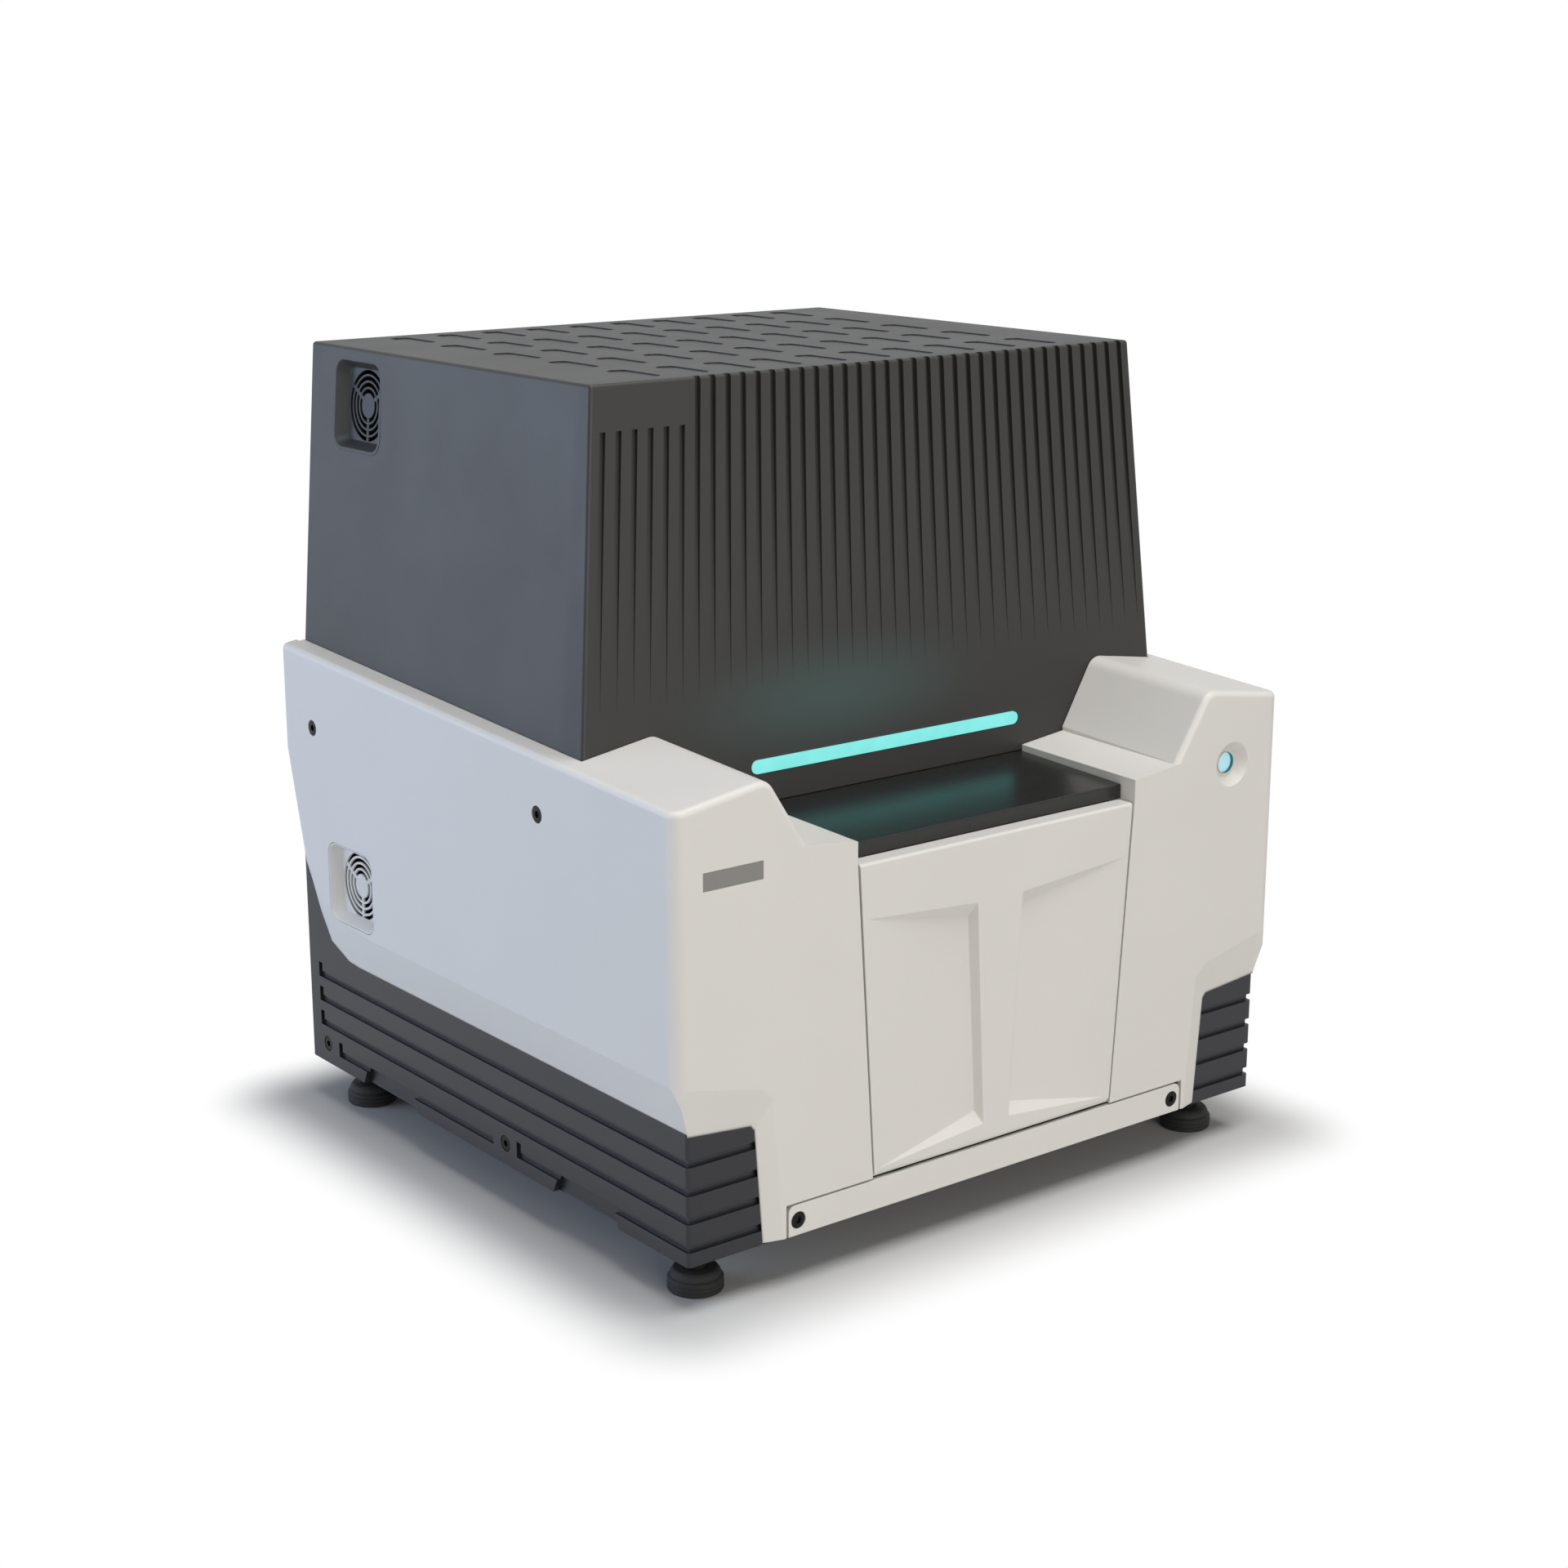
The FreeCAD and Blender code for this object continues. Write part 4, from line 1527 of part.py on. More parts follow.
def make_stage():
    half_long = d.stage_long / 2
    gap = d.slide_gap
    half = d.linear_wide / 2
    plate = box((-d.stage_half, STAGE_Y - half_long, STAGE_LOW), (d.stage_half, STAGE_Y + half_long, STAGE_TOP))
    shoes = []
    channels = []
    for x in both_sides(d.stage_rail_side):
        for y in (STAGE_Y - half_long + 22, STAGE_Y + half_long - 22):
            shoes.append(box((x - 15, y - 18, d.bed_top + 1), (x + 15, y + 18, STAGE_LOW)))
        channels.append(box((x - half - gap, STAGE_Y - half_long - 1, d.bed_top),
                            (x + half + gap, STAGE_Y + half_long + 1, d.bed_top + d.linear_tall + gap)))
    nut = box((-10.0, STAGE_Y - 20, d.bed_top + 0.6), (10.0, STAGE_Y + 20, STAGE_LOW))
    thread = cylinder((0.0, STAGE_Y - 21, SCREW_Z), d.screw_radius + d.run_gap, 42.0, "Y")
    sub_part(cut(fuse([plate, nut] + shoes), channels + [thread]), "stage_plate")

    rim = 4.0
    low = (-d.labware_wide / 2, SAMPLE_Y - d.labware_long / 2)
    high = (d.labware_wide / 2, SAMPLE_Y + d.labware_long / 2)
    heater = box((low[0] - rim, low[1] - rim / 2, STAGE_TOP), (high[0] + rim, high[1] + rim / 2, STAGE_TOP + d.heater_thick))
    nest = box((low[0] - gap, low[1] - gap, STAGE_TOP + d.heater_thick - 3),
               (high[0] + gap, high[1] + gap, STAGE_TOP + d.heater_thick + 1))
    sub_part(cut(heater, [nest]), "heater_block")
    plate_low = STAGE_TOP + d.heater_thick - 3
    make_labware("sample_plate", SAMPLE_Y, plate_low, d.plate_tall, 11.0)
    make_labware("sensor_tray", TRAY_Y, STAGE_TOP, d.tray_tall, 40.0)


def make_labware(label, y, low, tall, well_deep):
    """A plate with the standard footprint and 96 square wells."""
    body = new_body(label)
    half_wide = d.labware_wide / 2
    half_long = d.labware_long / 2
    outline = Profile(body, "XY_Plane", low)
    outline.rounded((-half_wide, y - half_long), (half_wide, y + half_long), 3.0)
    pad(outline, tall, "+Z")
    well = Profile(body, "XY_Plane", low + tall)
    x = d.well_pitch * -5.5
    first_y = y - d.well_pitch * 3.5
    half = 3.45
    well.rectangle((x - half, first_y - half), (x + half, first_y + half))
    hole = pocket(well, well_deep, "-Z")
    grid_pattern(hole, body, ("X_Axis", "Y_Axis"), (d.well_pitch, d.well_pitch), (12, 8))
    sub_part(body, label)


def check_and_write():
    """Stops on any failed feature or empty cut, then writes one file for each sub-part."""
    DOC.recompute()
    failed = [thing.Name + " of " + thing.Label for thing in DOC.Objects
              if "Invalid" in thing.State or "Error" in thing.State]
    if failed:
        raise RuntimeError("failed features: " + ", ".join(failed))
    cuts = [thing for thing in DOC.Objects
            if thing.TypeId in ("PartDesign::Pocket", "PartDesign::SubtractiveLoft")]
    idle = [thing.Name + " of " + thing.getParentGeoFeatureGroup().Label for thing in cuts
            if thing.Shape.Volume > thing.BaseFeature.Shape.Volume - 0.01]
    if idle:
        raise RuntimeError("cuts that remove nothing: " + ", ".join(idle))
    os.makedirs("parts", exist_ok=True)
    for thing in SUB_PARTS:
        if thing.Shape.isNull() or not thing.Shape.isValid():
            raise RuntimeError("bad shape: " + thing.Label)
        thing.Shape.exportStep("parts/" + thing.Label + ".step")
    print(len(SUB_PARTS), "sub-parts written")


make_base_tub()
make_base_plate()
make_rear_panel()
make_side_shells(make_shell_blank())
make_front_strip()
make_screws()
make_shell_brackets()
make_hood()
make_light_bar()
make_vents()
make_deck()
make_bay_walls()
make_door()
make_button()
make_badge()
make_feet()
make_inlet()
make_ports()
make_electronics()
make_gantry()
make_head()
make_stage_bed()
make_stage()
check_and_write()
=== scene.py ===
"""Looks of a bench instrument for biolayer interferometry: finishes, finer pieces and studio."""

import json
import logging
import math
from collections.abc import Callable
from dataclasses import dataclass, field
from enum import Enum

import bmesh
import bpy
from mathutils import Matrix, Vector

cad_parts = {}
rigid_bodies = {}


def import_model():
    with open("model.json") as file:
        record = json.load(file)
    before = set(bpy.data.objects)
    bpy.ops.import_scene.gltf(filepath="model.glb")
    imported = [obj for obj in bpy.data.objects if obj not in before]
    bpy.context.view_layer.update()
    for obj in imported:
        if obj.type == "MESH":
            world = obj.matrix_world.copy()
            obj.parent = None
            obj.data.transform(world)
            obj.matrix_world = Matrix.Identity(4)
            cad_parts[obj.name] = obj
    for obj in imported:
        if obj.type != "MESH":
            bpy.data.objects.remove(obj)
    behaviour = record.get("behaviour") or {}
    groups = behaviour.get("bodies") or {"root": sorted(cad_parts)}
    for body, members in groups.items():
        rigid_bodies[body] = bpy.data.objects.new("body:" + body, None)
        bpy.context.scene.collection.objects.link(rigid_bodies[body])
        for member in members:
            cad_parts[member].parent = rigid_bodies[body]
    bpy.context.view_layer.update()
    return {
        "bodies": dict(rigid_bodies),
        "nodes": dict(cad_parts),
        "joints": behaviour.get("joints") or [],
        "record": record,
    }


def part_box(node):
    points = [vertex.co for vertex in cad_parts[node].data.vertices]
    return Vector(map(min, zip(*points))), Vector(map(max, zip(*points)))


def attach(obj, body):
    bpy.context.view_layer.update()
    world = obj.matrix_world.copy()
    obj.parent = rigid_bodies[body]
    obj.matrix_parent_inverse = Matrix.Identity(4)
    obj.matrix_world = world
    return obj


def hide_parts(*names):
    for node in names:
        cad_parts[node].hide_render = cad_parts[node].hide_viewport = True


LOG = logging.getLogger("instrument")
MM = 0.001
# Points nearer to each other than this are one point: in new pieces, and in copies of CAD meshes.
JOIN = 1e-7
CAD_JOIN = 1e-6
# Edges that turn by more than this stay sharp.
SHARP = math.radians(32)
# How many times longer than wide the lines of a worked metal are.
STRETCH = 24.0


class Grain(Enum):
    """Direction in which a metal was ground, rolled or brushed."""

    ALONG_X = (1.0, STRETCH, STRETCH)
    ALONG_Y = (STRETCH, 1.0, STRETCH)


def linear(hex_colour: str) -> tuple[float, float, float, float]:
    """Turns an sRGB hex colour into linear values.

    Args:
        hex_colour: Six hex digits, such as "D8D6D2".

    Returns:
        Red, green, blue and an alpha of 1.
    """
    channels = [int(hex_colour[i:i + 2], 16) / 255 for i in (0, 2, 4)]
    return tuple(c / 12.92 if c <= 0.04045 else ((c + 0.055) / 1.055) ** 2.4 for c in channels) + (1.0,)


def toned(colour: tuple[float, ...], factor: float) -> tuple[float, float, float, float]:
    """Makes a linear colour darker or lighter.

    Args:
        colour: The linear colour.
        factor: Below 1 for darker, above 1 for lighter.

    Returns:
        The new colour with an alpha of 1.
    """
    return tuple(min(1.0, c * factor) for c in colour[:3]) + (1.0,)


def per_mm(size_mm: float) -> float:
    """Scale of a pattern whose features have this size in millimetres."""
    return 1 / (size_mm * MM)


def add_node(tree: bpy.types.NodeTree, kind: str, settings: dict | None = None,
             links: dict | None = None) -> bpy.types.Node:
    """Adds one shader node.

    Args:
        tree: Node tree of the material.
        kind: Node type, such as "ShaderNodeTexNoise".
        settings: Property names, input names or "stops" of a colour ramp, with their values.
        links: Input names with the output socket that feeds each.

    Returns:
        The new node.
    """
    node = tree.nodes.new(kind)
    for key, value in (settings or {}).items():
        if key == "stops":
            elements = node.color_ramp.elements
            for index, (place, colour) in enumerate(value):
                element = elements[index] if index < 2 else elements.new(place)
                element.position = place
                element.color = colour
        elif isinstance(key, int) or key in node.inputs:
            node.inputs[key].default_value = value
        else:
            setattr(node, key, value)
    for key, source in (links or {}).items():
        tree.links.new(source, node.inputs[key])
    return node


def as_object(name: str, shape: bmesh.types.BMesh) -> bpy.types.Object:
    """Turns a bmesh into an object at the origin, and frees it.

    Args:
        name: Name of the object and its mesh.
        shape: The bmesh.

    Returns:
        The object, linked to the scene.
    """
    mesh = bpy.data.meshes.new(name)
    shape.to_mesh(mesh)
    shape.free()
    thing = bpy.data.objects.new(name, mesh)
    bpy.context.scene.collection.objects.link(thing)
    return thing


def bevel(shape: bmesh.types.BMesh, edges: list[bmesh.types.BMEdge], reach: float,
          segments: int) -> list[bmesh.types.BMVert]:
    """Rounds edges.

    Args:
        shape: Bmesh to work on.
        edges: The edges.
        reach: How far the rounding reaches from each edge.
        segments: Segments of the rounding.

    Returns:
        The verts of the rounding.
    """
    made = bmesh.ops.bevel(shape, geom=edges, offset=reach, offset_type="OFFSET", segments=segments,
                           profile=0.5, affect="EDGES", clamp_overlap=True, material=-1)
    return made["verts"]


def move_to(shape: bmesh.types.BMesh, verts: list[bmesh.types.BMVert], place: Vector,
            axis: Vector) -> None:
    """Turns verts made along Z to an axis, and moves them to their place.

    Args:
        shape: Bmesh to work on.
        verts: The verts.
        place: Where their origin goes.
        axis: Where their Z goes.
    """
    turn = Vector((0, 0, 1)).rotation_difference(axis).to_matrix().to_4x4()
    bmesh.ops.transform(shape, matrix=Matrix.Translation(place) @ turn, verts=verts)


def box_of(node: str) -> tuple[Vector, Vector]:
    """Lowest and highest corner of a CAD node's box."""
    low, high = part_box(node)
    return Vector(low), Vector(high)


@dataclass(frozen=True)
class Finish:
    """What every finish shares: its base colour, its gloss and the size of its grain."""

    name: str
    colour: str
    roughness: float
    grain_mm: float = 1.2
    relief_mm: float = 0.02
    tone_spread: float = 0.04
    patch_mm: float = 60.0
    grain_share: float = 0.35

    def build(self) -> bpy.types.Material:
        """Makes the material.

        Returns:
            The finished material.
        """
        material = bpy.data.materials.new(self.name)
        material.use_nodes = True
        tree = material.node_tree
        tree.nodes.clear()
        place = add_node(tree, "ShaderNodeTexCoord").outputs["Object"]
        shader = add_node(tree, "ShaderNodeBsdfPrincipled", {"Roughness": self.roughness})
        output = add_node(tree, "ShaderNodeOutputMaterial")
        tree.links.new(shader.outputs["BSDF"], output.inputs["Surface"])
        self.surface(tree, place, shader)
        return material

    def surface(self, tree: bpy.types.NodeTree, place: bpy.types.NodeSocket,
                shader: bpy.types.Node) -> None:
        """Adds colour, gloss and relief to the shader.

        Args:
            tree: Node tree of the material.
            place: Object coordinates.
            shader: The Principled shader.
        """
        self.mottle(tree, place, shader)
        self.relief(tree, place, shader)

    def mottle(self, tree: bpy.types.NodeTree, place: bpy.types.NodeSocket,
               shader: bpy.types.Node) -> None:
        """Varies the colour softly in patches and finely in grains.

        Args:
            tree: Node tree of the material.
            place: Object coordinates.
            shader: The Principled shader.
        """
        patches = add_node(tree, "ShaderNodeTexNoise", {"Scale": per_mm(self.patch_mm), "Detail": 3.0},
                           {"Vector": place})
        grains = add_node(tree, "ShaderNodeTexNoise", {"Scale": per_mm(self.grain_mm), "Detail": 1.0},
                          {"Vector": place})
        mix = add_node(tree, "ShaderNodeMath", {"operation": "MULTIPLY_ADD", 1: self.grain_share, 2: 0.0},
                       {0: grains.outputs["Fac"]})
        total = add_node(tree, "ShaderNodeMath",
                         {"operation": "MULTIPLY_ADD", 1: 1 - self.grain_share},
                         {0: patches.outputs["Fac"], 2: mix.outputs[0]})
        self.tone(tree, total.outputs[0], shader)
        self.gloss(tree, total.outputs[0], shader, 0.3, 0.7, (0.9, 1.1))

    def tone(self, tree: bpy.types.NodeTree, pattern: bpy.types.NodeSocket,
             shader: bpy.types.Node) -> None:
        """Lets the colour follow a pattern, by the finish's own spread.

        Args:
            tree: Node tree of the material.
            pattern: The pattern.
            shader: The Principled shader.
        """
        base = linear(self.colour)
        ramp = add_node(tree, "ShaderNodeValToRGB",
                        {"stops": [(0.3, toned(base, 1 - self.tone_spread)),
                                   (0.7, toned(base, 1 + self.tone_spread))]}, {"Fac": pattern})
        tree.links.new(ramp.outputs["Color"], shader.inputs["Base Color"])

    def gloss(self, tree: bpy.types.NodeTree, pattern: bpy.types.NodeSocket, shader: bpy.types.Node,
              low: float, high: float, spread: tuple[float, float]) -> None:
        """Lets the gloss follow a pattern.

        Args:
            tree: Node tree of the material.
            pattern: The pattern.
            shader: The Principled shader.
            low: Value of the pattern with the glossiest surface.
            high: Value with the dullest.
            spread: Share of the roughness at those two values.
        """
        share = add_node(tree, "ShaderNodeMapRange",
                         {"From Min": low, "From Max": high, "To Min": self.roughness * spread[0],
                          "To Max": self.roughness * spread[1]}, {"Value": pattern})
        tree.links.new(share.outputs["Result"], shader.inputs["Roughness"])

    def raised(self, tree: bpy.types.NodeTree, height: bpy.types.NodeSocket, shader: bpy.types.Node,
               strength: float = 0.5) -> bpy.types.Node:
        """Lets the relief follow a pattern.

        Args:
            tree: Node tree of the material.
            height: The pattern.
            shader: The Principled shader.
            strength: How strongly it shows.

        Returns:
            The bump node.
        """
        bump = add_node(tree, "ShaderNodeBump", {"Strength": strength, "Distance": self.relief_mm * MM},
                        {"Height": height})
        tree.links.new(bump.outputs["Normal"], shader.inputs["Normal"])
        return bump

    def relief(self, tree: bpy.types.NodeTree, place: bpy.types.NodeSocket,
               shader: bpy.types.Node) -> bpy.types.Node:
        """Gives the surface its fine relief.

        Args:
            tree: Node tree of the material.
            place: Object coordinates.
            shader: The Principled shader.

        Returns:
            The bump node.
        """
        grains = add_node(tree, "ShaderNodeTexNoise", {"Scale": per_mm(self.grain_mm), "Detail": 2.0},
                          {"Vector": place})
        return self.raised(tree, grains.outputs["Fac"], shader)


@dataclass(frozen=True)
class MouldedPlastic(Finish):
    """Injection-moulded ABS with a spark-eroded texture, which spreads highlights into a soft sheen."""

    edge_mm: float = 0.0

    def relief(self, tree: bpy.types.NodeTree, place: bpy.types.NodeSocket,
               shader: bpy.types.Node) -> bpy.types.Node:
        """Spark-eroded pits, and edges broken by the mould's own small radius.

        Args:
            tree: Node tree of the material.
            place: Object coordinates.
            shader: The Principled shader.

        Returns:
            The bump node.
        """
        bump = super().relief(tree, place, shader)
        if self.edge_mm:
            edge = add_node(tree, "ShaderNodeBevel", {"samples": 6, "Radius": self.edge_mm * MM})
            tree.links.new(edge.outputs["Normal"], bump.inputs["Normal"])
        return bump


@dataclass(frozen=True)
class PowderCoat(Finish):
    """Powder-coated steel: fine orange peel over a matt dark colour, brighter where it is seen edge-on."""

    sheen: float = 0.25
    sheen_roughness: float = 0.45

    def surface(self, tree: bpy.types.NodeTree, place: bpy.types.NodeSocket,
                shader: bpy.types.Node) -> None:
        """Orange peel with a faint sheen.

        Args:
            tree: Node tree of the material.
            place: Object coordinates.
            shader: The Principled shader.
        """
        super().surface(tree, place, shader)
        shader.inputs["Sheen Weight"].default_value = self.sheen
        shader.inputs["Sheen Roughness"].default_value = self.sheen_roughness


@dataclass(frozen=True)
class PaintedLightCoat(PowderCoat):
    """Powder coat of the hood, with a painted cyan glow above the light bar and painted shade on the groove
    floors.
    """

    painted_glow: str = "7FF2E8"
    painted_glow_strength: float = 0.040
    painted_glow_middle: tuple[float, float, float] = (-0.055, 0.0, 0.397)
    painted_glow_reach: tuple[float, float, float] = (0.175, 1.0, 0.056)
    front_face: float = -0.120
    front_fade: float = 0.01
    face_place: float = -0.16309
    face_slope: float = 0.05393
    painted_groove_shade: float = 0.45
    groove_start: float = 0.4 * MM
    groove_deep: float = 3.0 * MM

    def surface(self, tree: bpy.types.NodeTree, place: bpy.types.NodeSocket,
                shader: bpy.types.Node) -> None:
        """Orange peel, a soft oval of painted cyan glow on the front face, and painted shade on the groove
        floors.

        Args:
            tree: Node tree of the material.
            place: Object coordinates.
            shader: The Principled shader.
        """
        super().surface(tree, place, shader)
        axes = add_node(tree, "ShaderNodeSeparateXYZ", links={"Vector": place})
        front = add_node(tree, "ShaderNodeMapRange",
                         {"From Min": self.front_face, "From Max": self.front_face + self.front_fade,
                          "To Min": 1.0, "To Max": 0.0}, {"Value": axes.outputs["Y"]})
        # Painted glow: an emission oval on the front face that stands in for the light bar's cyan light
        # falling on the hood.
        off = add_node(tree, "ShaderNodeVectorMath", {"operation": "SUBTRACT", 1: self.painted_glow_middle},
                       {0: place})
        share = add_node(tree, "ShaderNodeVectorMath", {"operation": "DIVIDE", 1: self.painted_glow_reach},
                         {0: off.outputs["Vector"]})
        reach = add_node(tree, "ShaderNodeVectorMath", {"operation": "LENGTH"},
                         {0: share.outputs["Vector"]})
        oval = add_node(tree, "ShaderNodeMapRange",
                        {"interpolation_type": "SMOOTHSTEP", "To Min": self.painted_glow_strength,
                         "To Max": 0.0}, {"Value": reach.outputs["Value"]})
        painted_glow = add_node(tree, "ShaderNodeMath", {"operation": "MULTIPLY"},
                         {0: oval.outputs["Result"], 1: front.outputs["Result"]})
        shader.inputs["Emission Color"].default_value = linear(self.painted_glow)
        tree.links.new(painted_glow.outputs[0], shader.inputs["Emission Strength"])
        # Painted shade: the groove floors get a darker colour by their depth behind the front face, where
        # shade falls in the grooves.
        face = add_node(tree, "ShaderNodeMath", {"operation": "MULTIPLY_ADD", 1: self.face_slope,
                                                 2: self.face_place}, {0: axes.outputs["Z"]})
        deep = add_node(tree, "ShaderNodeMath", {"operation": "SUBTRACT"},
                        {0: axes.outputs["Y"], 1: face.outputs[0]})
        dark = add_node(tree, "ShaderNodeMapRange",
                        {"From Min": self.groove_start, "From Max": self.groove_deep, "To Min": 0.0,
                         "To Max": 1.0}, {"Value": deep.outputs[0]})
        painted_shade_mask = add_node(tree, "ShaderNodeMath", {"operation": "MULTIPLY"},
                          {0: dark.outputs["Result"], 1: front.outputs["Result"]})
        coat = shader.inputs["Base Color"].links[0].from_socket
        shade = add_node(tree, "ShaderNodeMix", {"data_type": "RGBA", "blend_type": "MULTIPLY"},
                         {"Factor": painted_shade_mask.outputs[0]})
        upper, lower = [socket for socket in shade.inputs if socket.type == "RGBA"]
        tree.links.new(coat, upper)
        lower.default_value = (self.painted_groove_shade, self.painted_groove_shade, self.painted_groove_shade, 1.0)
        result = next(socket for socket in shade.outputs if socket.type == "RGBA")
        tree.links.new(result, shader.inputs["Base Color"])


@dataclass(frozen=True)
class GlossPanel(Finish):
    """Polished dark acrylic that blurs what it mirrors, with faint wipe marks in the gloss."""

    wipe_mm: float = 90.0
    wipe_stretch: tuple[float, float, float] = (1.0, 2.0, 1.0)

    def surface(self, tree: bpy.types.NodeTree, place: bpy.types.NodeSocket,
                shader: bpy.types.Node) -> None:
        """Polish with wipe marks.

        Args:
            tree: Node tree of the material.
            place: Object coordinates.
            shader: The Principled shader.
        """
        self.mottle(tree, place, shader)
        along = add_node(tree, "ShaderNodeMapping", {"Scale": self.wipe_stretch}, {"Vector": place})
        wipes = add_node(tree, "ShaderNodeTexNoise", {"Scale": per_mm(self.wipe_mm), "Detail": 1.0},
                         {"Vector": along.outputs["Vector"]})
        self.gloss(tree, wipes.outputs["Fac"], shader, 0.35, 0.75, (0.95, 1.08))


@dataclass(frozen=True)
class WorkedMetal(Finish):
    """Ground, rolled or brushed metal, whose fine lines stretch its highlights along them."""

    direction: Grain = Grain.ALONG_X

    def surface(self, tree: bpy.types.NodeTree, place: bpy.types.NodeSocket,
                shader: bpy.types.Node) -> None:
        """Lines of the tool, in gloss, tone and relief.

        Args:
            tree: Node tree of the material.
            place: Object coordinates.
            shader: The Principled shader.
        """
        shader.inputs["Metallic"].default_value = 1.0
        along = add_node(tree, "ShaderNodeMapping", {"Scale": self.direction.value}, {"Vector": place})
        lines = add_node(tree, "ShaderNodeTexNoise",
                         {"Scale": per_mm(self.grain_mm * STRETCH), "Detail": 4.0},
                         {"Vector": along.outputs["Vector"]})
        self.tone(tree, lines.outputs["Fac"], shader)
        self.gloss(tree, lines.outputs["Fac"], shader, 0.3, 0.7, (0.8, 1.2))
        self.raised(tree, lines.outputs["Fac"], shader, 0.3)


@dataclass(frozen=True)
class PlatedSheet(Finish):
    """Zinc-plated sheet steel: a bright metal broken into the faint spangles of the plating."""

    spangle_mm: float = 9.0

    def surface(self, tree: bpy.types.NodeTree, place: bpy.types.NodeSocket,
                shader: bpy.types.Node) -> None:
        """Spangles in tone and gloss.

        Args:
            tree: Node tree of the material.
            place: Object coordinates.
            shader: The Principled shader.
        """
        shader.inputs["Metallic"].default_value = 1.0
        cells = add_node(tree, "ShaderNodeTexVoronoi", {"Scale": per_mm(self.spangle_mm)},
                         {"Vector": place})
        parts = add_node(tree, "ShaderNodeSeparateColor", links={"Color": cells.outputs["Color"]})
        base = linear(self.colour)
        ramp = add_node(tree, "ShaderNodeValToRGB",
                        {"stops": [(0.0, toned(base, 1 - self.tone_spread)), (1.0, base)]},
                        {"Fac": parts.outputs["Red"]})
        tree.links.new(ramp.outputs["Color"], shader.inputs["Base Color"])
        self.gloss(tree, parts.outputs["Green"], shader, 0.0, 1.0, (0.8, 1.2))
        self.relief(tree, place, shader)


@dataclass(frozen=True)
class LitDiffuser(Finish):
    """Opal polycarbonate lit from behind by a row of diodes, a little dimmer between them."""

    strength: float = 1.0
    glow: str = "83EFE8"
    diode_mm: float = 14.0
    dimmest: float = 0.94

    def surface(self, tree: bpy.types.NodeTree, place: bpy.types.NodeSocket,
                shader: bpy.types.Node) -> None:
        """Light that wavers faintly along the row.

        Args:
            tree: Node tree of the material.
            place: Object coordinates.
            shader: The Principled shader.
        """
        super().surface(tree, place, shader)
        shader.inputs["Emission Strength"].default_value = self.strength
        spots = add_node(tree, "ShaderNodeTexNoise", {"Scale": per_mm(self.diode_mm), "Detail": 1.0},
                         {"Vector": place})
        base = linear(self.glow)
        ramp = add_node(tree, "ShaderNodeValToRGB",
                        {"stops": [(0.3, toned(base, self.dimmest)), (0.7, base)]},
                        {"Fac": spots.outputs["Fac"]})
        tree.links.new(ramp.outputs["Color"], shader.inputs["Emission Color"])


@dataclass(frozen=True)
class ClearPlastic(Finish):
    """Clear moulded polystyrene: light passes, with faint flow marks in its gloss."""

    refraction: float = 1.59
    clearness: float = 0.6

    def surface(self, tree: bpy.types.NodeTree, place: bpy.types.NodeSocket,
                shader: bpy.types.Node) -> None:
        """Clear body with flow marks.

        Args:
            tree: Node tree of the material.
            place: Object coordinates.
            shader: The Principled shader.
        """
        super().surface(tree, place, shader)
        shader.inputs["IOR"].default_value = self.refraction
        shader.inputs["Transmission Weight"].default_value = self.clearness


@dataclass(frozen=True)
class CircuitBoard(Finish):
    """Glass-fibre board under green solder mask, with paler copper tracks showing through."""

    track_mm: float = 6.0
    copper_gain: float = 1.9
    copper_lift: float = 0.01

    def surface(self, tree: bpy.types.NodeTree, place: bpy.types.NodeSocket,
                shader: bpy.types.Node) -> None:
        """Tracks in a stepped pattern.

        Args:
            tree: Node tree of the material.
            place: Object coordinates.
            shader: The Principled shader.
        """
        cells = add_node(tree, "ShaderNodeTexVoronoi",
                         {"distance": "CHEBYCHEV", "feature": "F1", "Scale": per_mm(self.track_mm)},
                         {"Vector": place})
        base = linear(self.colour)
        copper = tuple(min(1.0, c * self.copper_gain + self.copper_lift) for c in base[:3]) + (1.0,)
        ramp = add_node(tree, "ShaderNodeValToRGB",
                        {"stops": [(0.40, base), (0.44, copper), (0.50, copper), (0.54, base)]},
                        {"Fac": cells.outputs["Distance"]})
        tree.links.new(ramp.outputs["Color"], shader.inputs["Base Color"])
        self.raised(tree, ramp.outputs["Color"], shader)


